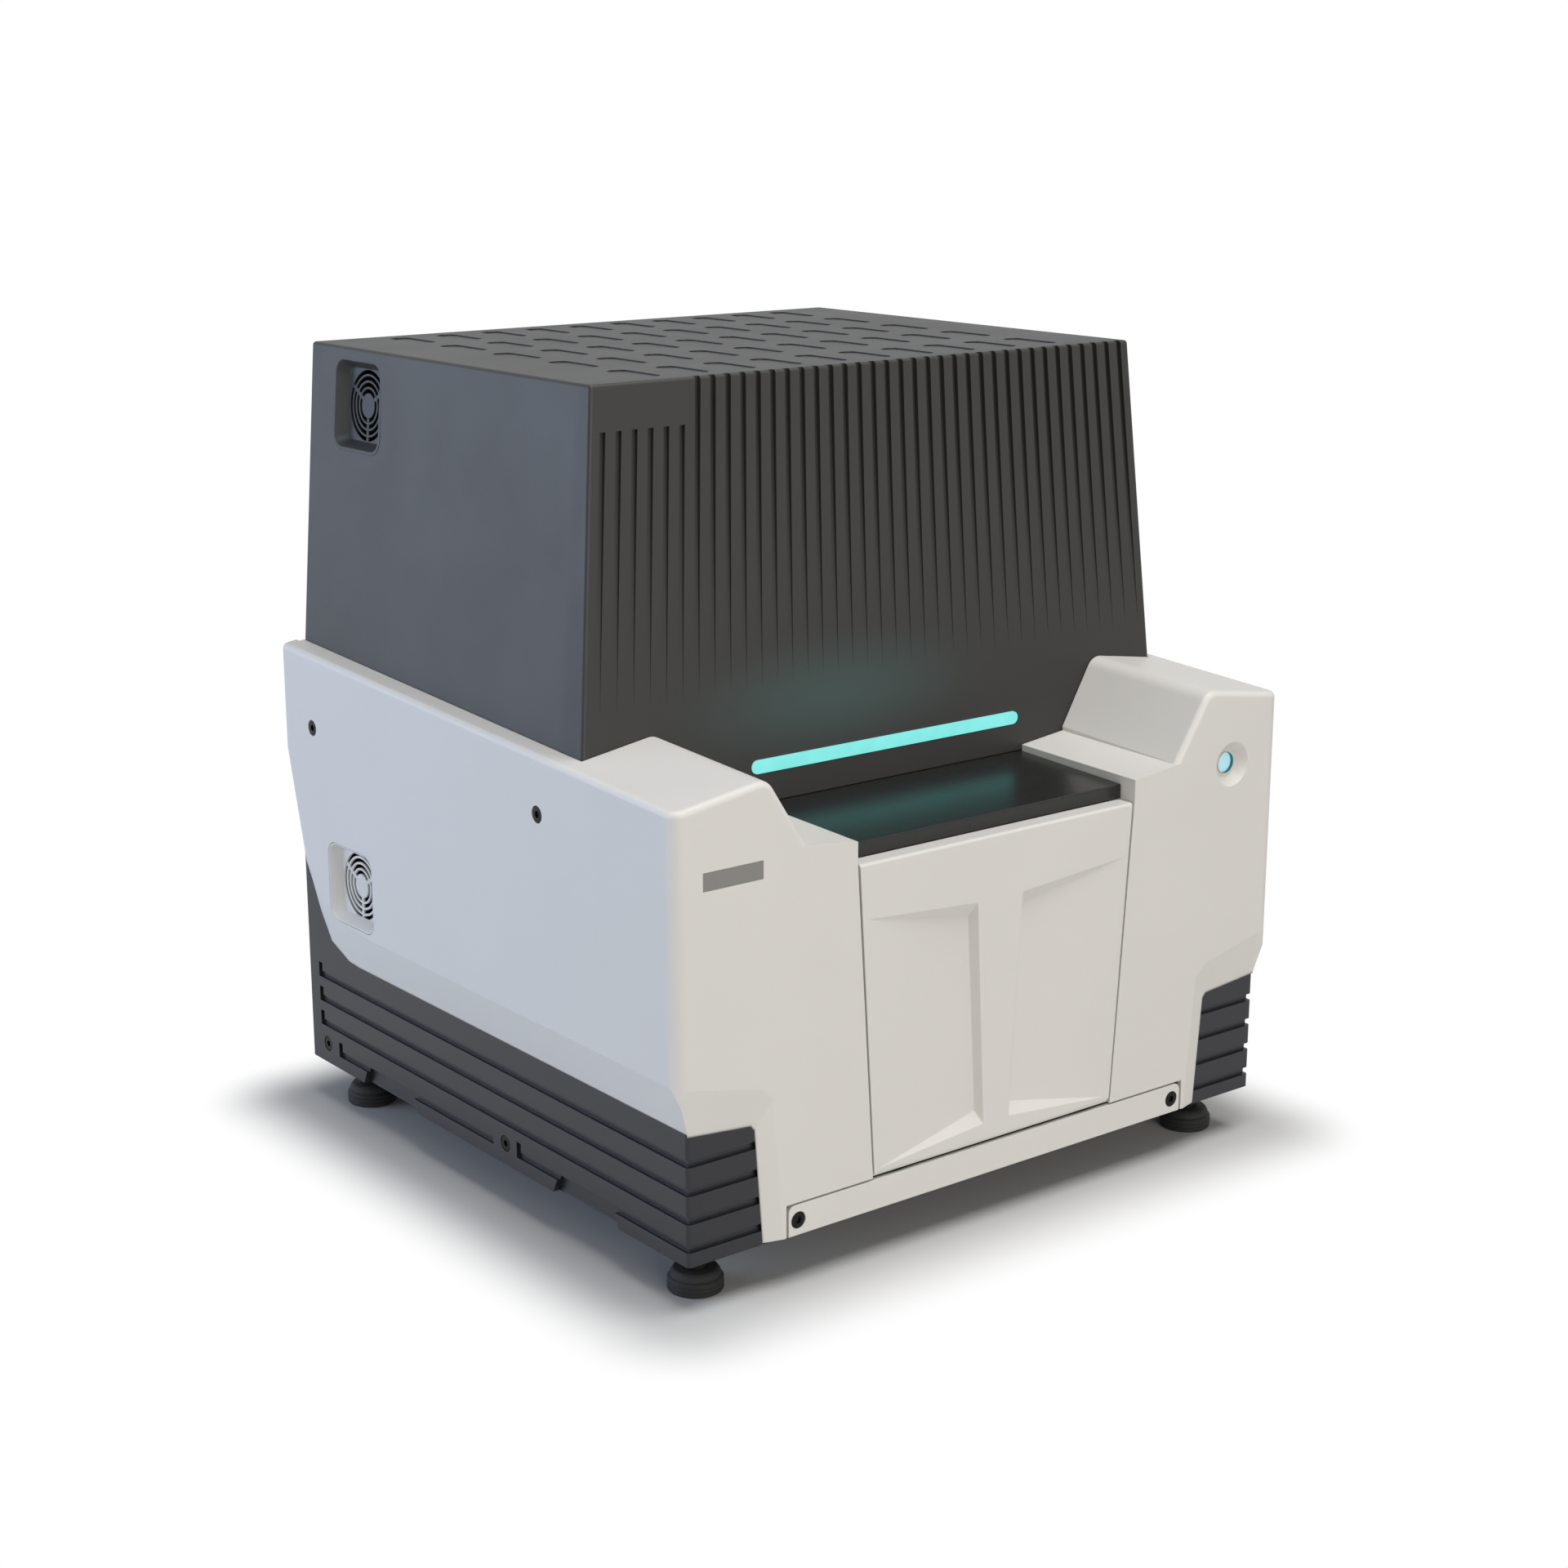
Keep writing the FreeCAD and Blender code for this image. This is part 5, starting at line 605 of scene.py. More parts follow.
@dataclass
class Finishes:
    """The finishes of the instrument, each built once and handed out by name."""

    made: dict[str, bpy.types.Material] = field(default_factory=dict)
    # Eroded pits are really about 0.15 mm across and tool lines about 0.05 mm wide. Both are too fine to
    # show in the render, so the grain of these finishes is drawn coarser than it is.
    recipes: tuple[Finish, ...] = (
        # White ABS, spark-eroded: reads as a warm off-white satin skin.
        MouldedPlastic("abs_white_spark_eroded", "D9D6D1", 0.48, 1.1, 0.02, 0.015, 90.0, edge_mm=1.0),
        # Dark ABS of the base: a cooler charcoal with a dull sheen.
        MouldedPlastic("abs_charcoal_spark_eroded", "1C1D23", 0.38, 1.1, 0.03, 0.05, 70.0, edge_mm=0.6),
        # Powder-coated sheet steel hood: warm charcoal with orange peel, a painted cyan glow above the
        # light bar and painted shade on the groove floors.
        PaintedLightCoat("steel_powder_coated_charcoal_with_painted_light", "262523", 0.50, 1.6, 0.03, 0.05, 80.0, sheen=0.08),
        # Inside of the upper vent, moulded in the hood's colour.
        MouldedPlastic("abs_charcoal_vent", "27292B", 0.50, 1.1, 0.02, 0.04, 40.0, edge_mm=0.5),
        # Deck cover: polished dark acrylic that mirrors the light bar in a blur.
        GlossPanel("acrylic_dark_polished", "1C1C1B", 0.27, 0.4, 0.001, 0.03, 60.0),
        # Light bar: opal polycarbonate lit cyan.
        LitDiffuser("polycarbonate_opal_lit_cyan", "0B2423", 0.40, 1.0, 0.01, 0.02, 30.0, strength=0.97,
                    glow="86EDE8"),
        # Power button: opal cap lit ice blue.
        LitDiffuser("polycarbonate_opal_lit_ice", "A9DCE6", 0.35, 0.8, 0.01, 0.02, 8.0, strength=0.35,
                    glow="A9DCE6"),
        # Liner round the power button: smoked polycarbonate whose teal colour is the button's light painted
        # on the shaded wall of its well.
        MouldedPlastic("polycarbonate_smoked_painted_teal_glow", "3F7078", 0.35, 0.8, 0.005, 0.04, 8.0),
        # Moulded rubber pads of the feet: near black and dull.
        Finish("rubber_moulded_black", "1B1B1B", 0.72, 0.9, 0.04, 0.10, 25.0),
        # Blackened steel screws: dark metal with a soft gleam.
        WorkedMetal("steel_blackened", "2B2A28", 0.42, 0.25, 0.01, 0.10, 20.0),
        # Nylon and glass-filled parts inside: dull black.
        MouldedPlastic("nylon_glass_filled_black", "18191B", 0.55, 0.9, 0.03, 0.10, 30.0),
        # Anodised aluminium of the stage and gantry: pale satin silver.
        WorkedMetal("aluminium_anodised_silver", "C2C5C8", 0.36, 0.20, 0.008, 0.05, 40.0),
        # Badge plate: grey anodised aluminium with lengthwise brushing.
        WorkedMetal("aluminium_brushed_grey", "8D8B87", 0.40, 0.20, 0.008, 0.06, 40.0),
        # Ground bearing steel of rails, pins and leadscrew: bright, with fine lines along it.
        WorkedMetal("steel_ground", "B9BBBD", 0.22, 0.15, 0.004, 0.05, 30.0, direction=Grain.ALONG_Y),
        # Zinc-plated sheet steel of plates and brackets: grey metal in faint spangles.
        PlatedSheet("steel_zinc_plated", "B4B6B4", 0.38, 1.5, 0.01, 0.14, 50.0),
        # Powder-coated rear panel: cool charcoal with orange peel.
        PowderCoat("steel_powder_coated_rear", "2F3032", 0.52, 1.6, 0.03, 0.05, 80.0),
        # Glass-fibre board: dark green mask with paler tracks.
        CircuitBoard("glass_fibre_solder_mask", "0E4A2B", 0.38, 1.0, 0.03),
        # Sensor tips of clear polystyrene: glassy, with faint flow marks.
        ClearPlastic("polystyrene_clear", "DDE3E6", 0.15, 1.5, 0.004, 0.02, 10.0),
        # Sample plate: black polystyrene with a soft gloss.
        MouldedPlastic("polystyrene_black", "141416", 0.40, 0.8, 0.01, 0.10, 20.0),
        # Sensor tray: blue polypropylene with a waxy gloss.
        MouldedPlastic("polypropylene_blue", "2F5E9E", 0.42, 0.8, 0.01, 0.06, 20.0),
        # Fibre jackets: orange PVC with a waxy gloss.
        MouldedPlastic("pvc_orange", "DA7420", 0.42, 0.8, 0.01, 0.06, 12.0),
        # Mains rocker: black PBT, glossy.
        MouldedPlastic("pbt_gloss_black", "101012", 0.26, 0.8, 0.01, 0.10, 12.0),
    )

    def get(self, name: str) -> bpy.types.Material:
        """Hands out a material, building it at its first use.

        Args:
            name: Name of the finish.

        Returns:
            The material.
        """
        if name not in self.made:
            recipe = next(r for r in self.recipes if r.name == name)
            self.made[name] = recipe.build()
        return self.made[name]


@dataclass
class SubAssembly:
    """Shared ways to dress CAD nodes and to add new pieces."""

    frame: dict
    finishes: Finishes

    def dress(self, finish: str, *nodes: str) -> None:
        """Gives CAD nodes their finish.

        Args:
            finish: Name of the finish.
            nodes: Names of the CAD nodes.
        """
        material = self.finishes.get(finish)
        for name in nodes:
            node = self.frame["nodes"][name]
            node.data.materials.clear()
            node.data.materials.append(material)
            LOG.info("dressed %s with %s", name, finish)

    def piece(self, name: str, shape: bmesh.types.BMesh, finish: str, body: str,
              replaces: tuple[str, ...] = (), flat_faced: bool = False) -> bpy.types.Object:
        """Turns a bmesh into a finished piece that rides on a body.

        Args:
            name: Name of the piece.
            shape: Its bmesh, in metres, in place.
            finish: Name of its finish.
            body: CAD body that it rides on.
            replaces: CAD nodes that it stands for.
            flat_faced: Whether wide flat faces meet small rounded edges, as on a moulding.

        Returns:
            The new object.
        """
        bmesh.ops.remove_doubles(shape, verts=shape.verts, dist=JOIN)
        bmesh.ops.recalc_face_normals(shape, faces=shape.faces)
        thing = as_object(name, shape)
        thing.data.materials.append(self.finishes.get(finish))
        thing.data.shade_smooth()
        thing.data.set_sharp_from_angle(angle=SHARP)
        if flat_faced:
            thing.modifiers.new("flat_faces", "WEIGHTED_NORMAL").keep_sharp = True
        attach(thing, body)
        if replaces:
            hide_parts(*replaces)
        LOG.info("made %s with %s", name, finish)
        return thing

    def copy_of(self, node: str) -> bmesh.types.BMesh:
        """Copies a CAD node's mesh, as the blank of a finer piece that replaces the node.

        Args:
            node: Name of the CAD node.

        Returns:
            The copy, without the stored normals.
        """
        mesh = self.frame["nodes"][node].data.copy()
        if "custom_normal" in mesh.attributes:
            mesh.attributes.remove(mesh.attributes["custom_normal"])
        shape = bmesh.new()
        shape.from_mesh(mesh)
        bpy.data.meshes.remove(mesh)
        bmesh.ops.remove_doubles(shape, verts=shape.verts, dist=CAD_JOIN)
        return shape

    def turned(self, profile: list[tuple[float, float]], centre: Vector, axis: Vector,
               steps: int = 64) -> bmesh.types.BMesh:
        """Turns a profile about an axis.

        Args:
            profile: Radius and place along the axis, in metres, from one end to the other.
            centre: Where the axis starts.
            axis: Direction of the axis.
            steps: Segments of a full turn.

        Returns:
            The turned shape.
        """
        shape = bmesh.new()
        verts = [shape.verts.new((radius, 0.0, along)) for radius, along in profile]
        edges = [shape.edges.new(pair) for pair in zip(verts, verts[1:])]
        bmesh.ops.spin(shape, geom=verts + edges, cent=(0, 0, 0), axis=(0, 0, 1), angle=2 * math.pi,
                       steps=steps, use_merge=True, use_duplicate=False)
        bmesh.ops.remove_doubles(shape, verts=shape.verts, dist=JOIN)
        move_to(shape, shape.verts, centre, axis)
        return shape


@dataclass(frozen=True)
class GripPlan:
    """Sizes and places of the panels behind the base's hand grips, in metres."""

    half_foot: float = 43.0 * MM
    half_head: float = 35.2 * MM
    foot: float = 38.4 * MM
    head: float = 54.0 * MM
    face: float = 282.0 * MM
    thick: float = 2.4 * MM
    edge: float = 0.6 * MM
    rows: tuple[float, ...] = (-140.5 * MM, 145.5 * MM)


@dataclass
class Housing(SubAssembly):
    """White shells, bottom strip, dark base with its grips, rear panel and badge."""

    grip: GripPlan = GripPlan()

    def build(self) -> None:
        """Dresses the housing and closes the hand grips."""
        for side in (-1, 1):
            for row, place in enumerate(self.grip.rows):
                self.grip_panel(f"grip_panel_{'left' if side < 0 else 'right'}_{row}", side, place)
        self.dress("abs_white_spark_eroded", "left_side_shell", "right_side_shell", "bottom_strip")
        self.dress("abs_charcoal_spark_eroded", "base_tub")
        self.dress("steel_powder_coated_rear", "rear_panel")
        self.dress("steel_zinc_plated", "base_plate", "shell_brackets")
        self.dress("aluminium_brushed_grey", "name_badge")

    def grip_panel(self, name: str, side: int, place: float) -> None:
        """Makes the panel at the back of one hand grip.

        Args:
            name: Name of the piece.
            side: -1 for the left side of the base, 1 for its right side.
            place: Y of the grip's middle.
        """
        grip = self.grip
        shape = bmesh.new()
        bmesh.ops.create_cube(shape, size=1.0)
        for vert in shape.verts:
            half = grip.half_head if vert.co.z > 0 else grip.half_foot
            vert.co = Vector((side * (grip.face - (grip.thick if vert.co.x < 0 else 0.0)),
                              place + math.copysign(half, vert.co.y),
                              grip.head if vert.co.z > 0 else grip.foot))
        bevel(shape, list(shape.edges), grip.edge, 2)
        self.piece(name, shape, "abs_charcoal_spark_eroded", "chassis", (), True)


@dataclass(frozen=True)
class HoodPlan:
    """Sizes of the hood that its finer skin follows, in metres."""

    top: float = 643.3 * MM
    ledge: float = 380.0 * MM
    half_top: float = 262.1 * MM
    half_low: float = 284.3 * MM
    front_top: float = 128.4 * MM
    front_low: float = 142.6 * MM
    fade: float = 410.0 * MM
    pitch: float = 13.55 * MM
    count: int = 38
    half_groove: float = 2.0 * MM
    groove_deep: float = 3.0 * MM
    groove_ends: float = 600.0 * MM
    wider: float = 1.25
    deeper: float = 0.85 * MM
    near: float = 0.08 * MM
    fade_slack: float = 0.5 * MM
    front_slack: float = 0.3 * MM
    floor_slack: float = 0.4 * MM
    vent_y: float = 193.5 * MM
    vent_z: float = 599.0 * MM
    vent_reach: float = 37.0 * MM
    vent_side: float = -240.0 * MM
    vent_taller: float = 71.8 / 67.0
    slot_rows: float = 250.0 * MM
    slot_count: int = 10
    slot_deep: float = 2.0 * MM
    slot_pitch: float = 43.2 * MM
    slot_wider: float = 1.35
    slot_half: float = 6.6 * MM
    slot_raise: float = 0.9 * MM

    def half(self, height: float) -> float:
        """Half width of the hood at a height."""
        share = (height - self.ledge) / (self.top - self.ledge)
        return self.half_low + (self.half_top - self.half_low) * share

    def front(self, height: float) -> float:
        """Y of the hood's front face at a height."""
        share = (height - self.ledge) / (self.top - self.ledge)
        return -(self.front_low + (self.front_top - self.front_low) * share)


@dataclass
class Hood(SubAssembly):
    """Ribbed hood, whose grooves spread with its sides, and its light bar."""

    plan: HoodPlan = HoodPlan()
    bar_edge: float = 0.8 * MM

    def build(self) -> None:
        """Makes the hood's skin and lights the bar."""
        self.skin()
        self.light_bar()

    def skin(self) -> None:
        """Spreads, widens and deepens the grooves, softens the top's recesses and fits the vent's mouth."""
        plan = self.plan
        shape = self.copy_of("hood_shell")
        for vert in shape.verts:
            place = vert.co
            deep = place.y - plan.front(place.z)
            if (place.z > plan.fade - plan.fade_slack
                    and -plan.front_slack < deep < plan.groove_deep + plan.floor_slack):
                self.spread_groove(place, deep)
            elif place.z > plan.top - plan.slot_deep * 1.5 and abs(place.y) < plan.slot_rows:
                self.soften_slot(place)
            elif (place.x < plan.vent_side and abs(place.y - plan.vent_y) < plan.vent_reach
                  and abs(place.z - plan.vent_z) < plan.vent_reach):
                place.z = plan.vent_z + (place.z - plan.vent_z) * plan.vent_taller
        self.piece("hood_skin", shape, "steel_powder_coated_charcoal_with_painted_light", "chassis", ("hood_shell",), True)

    def spread_groove(self, place: Vector, deep: float) -> None:
        """Moves one point of a groove's edge or floor.

        Args:
            place: The point, which is moved.
            deep: How far it lies behind the front face.
        """
        plan = self.plan
        index = round(place.x / plan.pitch + (plan.count - 1) / 2)
        middle = (index - (plan.count - 1) / 2) * plan.pitch
        aside = place.x - middle
        if not 0 <= index < plan.count or abs(abs(aside) - plan.half_groove) > plan.near * 0.75:
            return
        share = (place.z - plan.fade) / (plan.top - plan.fade)
        if place.z > plan.groove_ends and abs(deep - plan.groove_deep * share) < plan.near:
            place.y += plan.deeper * share
        place.x = middle * plan.half(place.z) / plan.half_top + aside * plan.wider

    def soften_slot(self, place: Vector) -> None:
        """Moves one point of a recess in the top, which gets wider and shallower.

        Args:
            place: The point, which is moved.
        """
        plan = self.plan
        middle = (math.floor(place.x / plan.slot_pitch) + 0.5) * plan.slot_pitch
        aside = place.x - middle
        if abs(aside) > plan.slot_half or abs(middle) > plan.slot_pitch * plan.slot_count / 2:
            return
        place.x = middle + aside * plan.slot_wider
        if place.z < plan.top - plan.slot_deep * 0.75:
            place.z += plan.slot_raise

    def light_bar(self) -> None:
        """Moulds the opal bar with round ends and a soft front edge."""
        low, high = box_of("light_bar")
        size = high - low
        shape = bmesh.new()
        bmesh.ops.create_cube(shape, size=1.0)
        bmesh.ops.scale(shape, vec=size, verts=shape.verts)
        bmesh.ops.translate(shape, vec=(low + high) / 2, verts=shape.verts)
        ends = [e for e in shape.edges if abs(e.verts[0].co.y - e.verts[1].co.y) > size.y / 2]
        bevel(shape, ends, size.z / 2 * 0.999, 10)
        rim = [e for e in shape.edges if all(abs(v.co.y - low.y) < CAD_JOIN for v in e.verts)]
        bevel(shape, rim, self.bar_edge, 3)
        self.piece("light_bar_diffuser", shape, "polycarbonate_opal_lit_cyan", "chassis", ("light_bar",))


@dataclass
class Vents(SubAssembly):
    """Two fan vents on the left, each a drafted cup with a ring grille and a fan behind it."""

    steps: int = 96
    corner: float = 12 * MM
    rim: float = 1.0 * MM
    floor_inset: float = 6.0 * MM
    floor_deep: float = 10.0 * MM
    floor_thick: float = 2.0 * MM
    lip_deep: float = 0.7 * MM
    foot_out: float = 0.6 * MM
    foot_in: float = 0.8 * MM
    foot_tall: float = 1.2 * MM
    grille_radius: float = 28.0 * MM
    ring_pitch: float = 5.0 * MM
    ring_slot: float = 3.0 * MM
    ring_count: int = 4
    ring_edge: float = 0.3 * MM
    spoke_half: float = 1.6 * MM
    spoke_start: float = 3.0 * MM
    spoke_short: float = 2.0 * MM
    half_wide: float = 35.5 * MM
    half_tall_upper: float = 35.3 * MM
    half_tall_lower: float = 32.9 * MM
    flange_wide: float = 1.4 * MM
    flange_proud: float = 0.15 * MM
    out_of_hood: float = 0.1 * MM
    out_of_shell: float = 0.2 * MM
    lean: float = math.atan2(22.2, 263.3)

    def build(self) -> None:
        """Dresses the fans and moulds the cups."""
        self.dress("nylon_glass_filled_black", "upper_fan_frame", "lower_fan_frame",
                   "upper_fan_rotor", "lower_fan_rotor")
        hood = HoodPlan()
        centre = Vector((-hood.half(hood.vent_z) - self.out_of_hood, hood.vent_y, hood.vent_z))
        self.cup("upper_vent", "upper_vent_cup", "abs_charcoal_vent", centre, self.lean, self.flange_wide)
        low, high = box_of("lower_vent_cup")
        centre = (low + high) / 2
        centre.x = low.x - self.out_of_shell
        self.cup("lower_vent", "lower_vent_cup", "abs_white_spark_eroded", centre, 0.0, 0.0)

    def outline(self, half_wide: float, half_tall: float, corner: float,
                deep: float) -> list[tuple[float, float, float]]:
        """A rounded rectangle with its points spread evenly by angle.

        Args:
            half_wide: Half its width.
            half_tall: Half its height.
            corner: Radius of its corners.
            deep: How far it lies inside the mouth.

        Returns:
            Its points, in the cup's own frame with the mouth in the plane x = 0.
        """
        points = []
        for step in range(self.steps):
            angle = 2 * math.pi * step / self.steps
            across, up = math.cos(angle), math.sin(angle)
            reach = min(half_wide / max(abs(across), 1e-9), half_tall / max(abs(up), 1e-9))
            y, z = across * reach, up * reach
            over_y, over_z = abs(y) - (half_wide - corner), abs(z) - (half_tall - corner)
            if over_y > 0 and over_z > 0:
                cy = math.copysign(half_wide - corner, y)
                cz = math.copysign(half_tall - corner, z)
                dot = across * cy + up * cz
                reach = dot + math.sqrt(dot * dot - cy * cy - cz * cz + corner * corner)
                y, z = across * reach, up * reach
            points.append((deep, y, z))
        return points

    def circle(self, radius: float, deep: float) -> list[tuple[float, float, float]]:
        """A circle with as many points as the outlines.

        Args:
            radius: Its radius.
            deep: How far it lies inside the mouth.

        Returns:
            Its points.
        """
        turn = 2 * math.pi / self.steps
        return [(deep, radius * math.cos(turn * i), radius * math.sin(turn * i)) for i in range(self.steps)]

    def skin(self, shape: bmesh.types.BMesh, loops: list[list[tuple[float, float, float]]]) -> None:
        """Joins closed loops of points into a skin.

        Args:
            shape: Bmesh that gets the skin.
            loops: The loops, in order.
        """
        rows = [[shape.verts.new(point) for point in loop] for loop in loops]
        for row, after in zip(rows, rows[1:]):
            for i in range(self.steps):
                j = (i + 1) % self.steps
                shape.faces.new((row[i], row[j], after[j], after[i]))

    def cup(self, name: str, node: str, finish: str, centre: Vector, lean: float, flange: float) -> None:
        """Moulds one cup: rim, drafted wall, floor, rings and spokes.

        Args:
            name: Name of the piece.
            node: CAD node that it stands for.
            finish: Name of its finish.
            centre: Middle of its mouth.
            lean: Angle by which its mouth leans back.
            flange: Width of the thin flange that covers the gap round it, or 0.
        """
        half_wide = self.half_wide
        half_tall = self.half_tall_upper if flange else self.half_tall_lower
        deep, thick, inset = self.floor_deep, self.floor_thick, self.floor_inset
        proud = self.flange_proud if flange else 0.0
        shape = bmesh.new()
        mouth = self.outline(half_wide - self.rim, half_tall - self.rim, self.corner - self.rim, -proud)
        lip = self.outline(half_wide - self.rim * 1.6, half_tall - self.rim * 1.6,
                           self.corner - self.rim, self.lip_deep - proud)
        low_wall = self.outline(half_wide - inset + self.foot_out, half_tall - inset + self.foot_out,
                                self.corner * 0.7, deep - self.foot_tall)
        floor = self.outline(half_wide - inset - self.foot_in, half_tall - inset - self.foot_in,
                             self.corner * 0.65, deep)
        back = self.outline(half_wide - self.rim, half_tall - self.rim, self.corner - self.rim,
                            deep + thick)
        outer = self.outline(half_wide + flange, half_tall + flange, self.corner + flange, -proud * 0.3)
        outer_back = self.outline(half_wide, half_tall, self.corner, deep + thick)
        self.skin(shape, [outer_back, outer, mouth, lip, low_wall, floor,
                          self.circle(self.grille_radius, deep),
                          self.circle(self.grille_radius, deep + thick), back])
        edge = self.ring_edge
        for ring in range(self.ring_count):
            far = self.grille_radius - self.ring_pitch * ring - self.ring_slot
            is_hub = ring == self.ring_count - 1
            near = far - (self.ring_pitch - self.ring_slot)
            loops = [self.circle(far, deep + thick), self.circle(far, deep + edge),
                     self.circle(far - edge, deep)]
            if is_hub:
                loops += [self.circle(edge, deep)]
            else:
                loops += [self.circle(near + edge, deep), self.circle(near, deep + edge),
                          self.circle(near, deep + thick), self.circle(far, deep + thick)]
            self.skin(shape, loops)
        for spoke in range(3):
            made = bmesh.ops.create_cube(shape, size=1.0)
            size = (thick * 0.8, self.spoke_half * 2, self.grille_radius - self.spoke_short)
            bmesh.ops.scale(shape, vec=size, verts=made["verts"])
            bmesh.ops.translate(shape, vec=(deep + thick * 0.55, 0, size[2] / 2 + self.spoke_start),
                                verts=made["verts"])
            turn = Matrix.Rotation(math.radians(120 * spoke + 180), 4, "X")
            bmesh.ops.transform(shape, matrix=turn, verts=made["verts"])
        turn = Matrix.Rotation(lean, 4, "Y")
        bmesh.ops.transform(shape, matrix=Matrix.Translation(centre) @ turn, verts=shape.verts)
        self.piece(name, shape, finish, "chassis", (node,), True)


@dataclass(frozen=True)
class DoorPlan:
    """Sizes of the front door, in metres, from its edges and from the middle plane."""

    half_top: float = 136.4 * MM
    half_low: float = 120.4 * MM
    thick: float = 16 * MM
    drop_outer: float = 42.1 * MM
    drop_inner: float = 49.7 * MM
    stem_top: float = 22.6 * MM
    stem_low: float = 13.0 * MM
    rim_top: float = 7.8 * MM
    rim_low: float = 4.9 * MM
    lift_inner: float = 16.4 * MM
    lift_outer: float = 6.9 * MM
    deep: float = 7.5 * MM
    draft: float = 3.0 * MM
    ramp_top: float = 12.0 * MM
    ramp_low: float = 9.0 * MM
    foot_round: float = 5.0 * MM
    top_round: float = 2.4 * MM
    recess_round: float = 2.2 * MM
    off_front: float = 0.5 * MM
    off_back: float = 2.0 * MM
    off_foot: float = 6.0 * MM
    off_top: float = 20.0 * MM
    slot_middle: float = 94.0 * MM
    slot_half: float = 9.8 * MM
    slot_y: tuple[float, float] = (-271.3 * MM, -257.0 * MM)
    slot_z: tuple[float, float] = (60.0 * MM, 78.2 * MM)


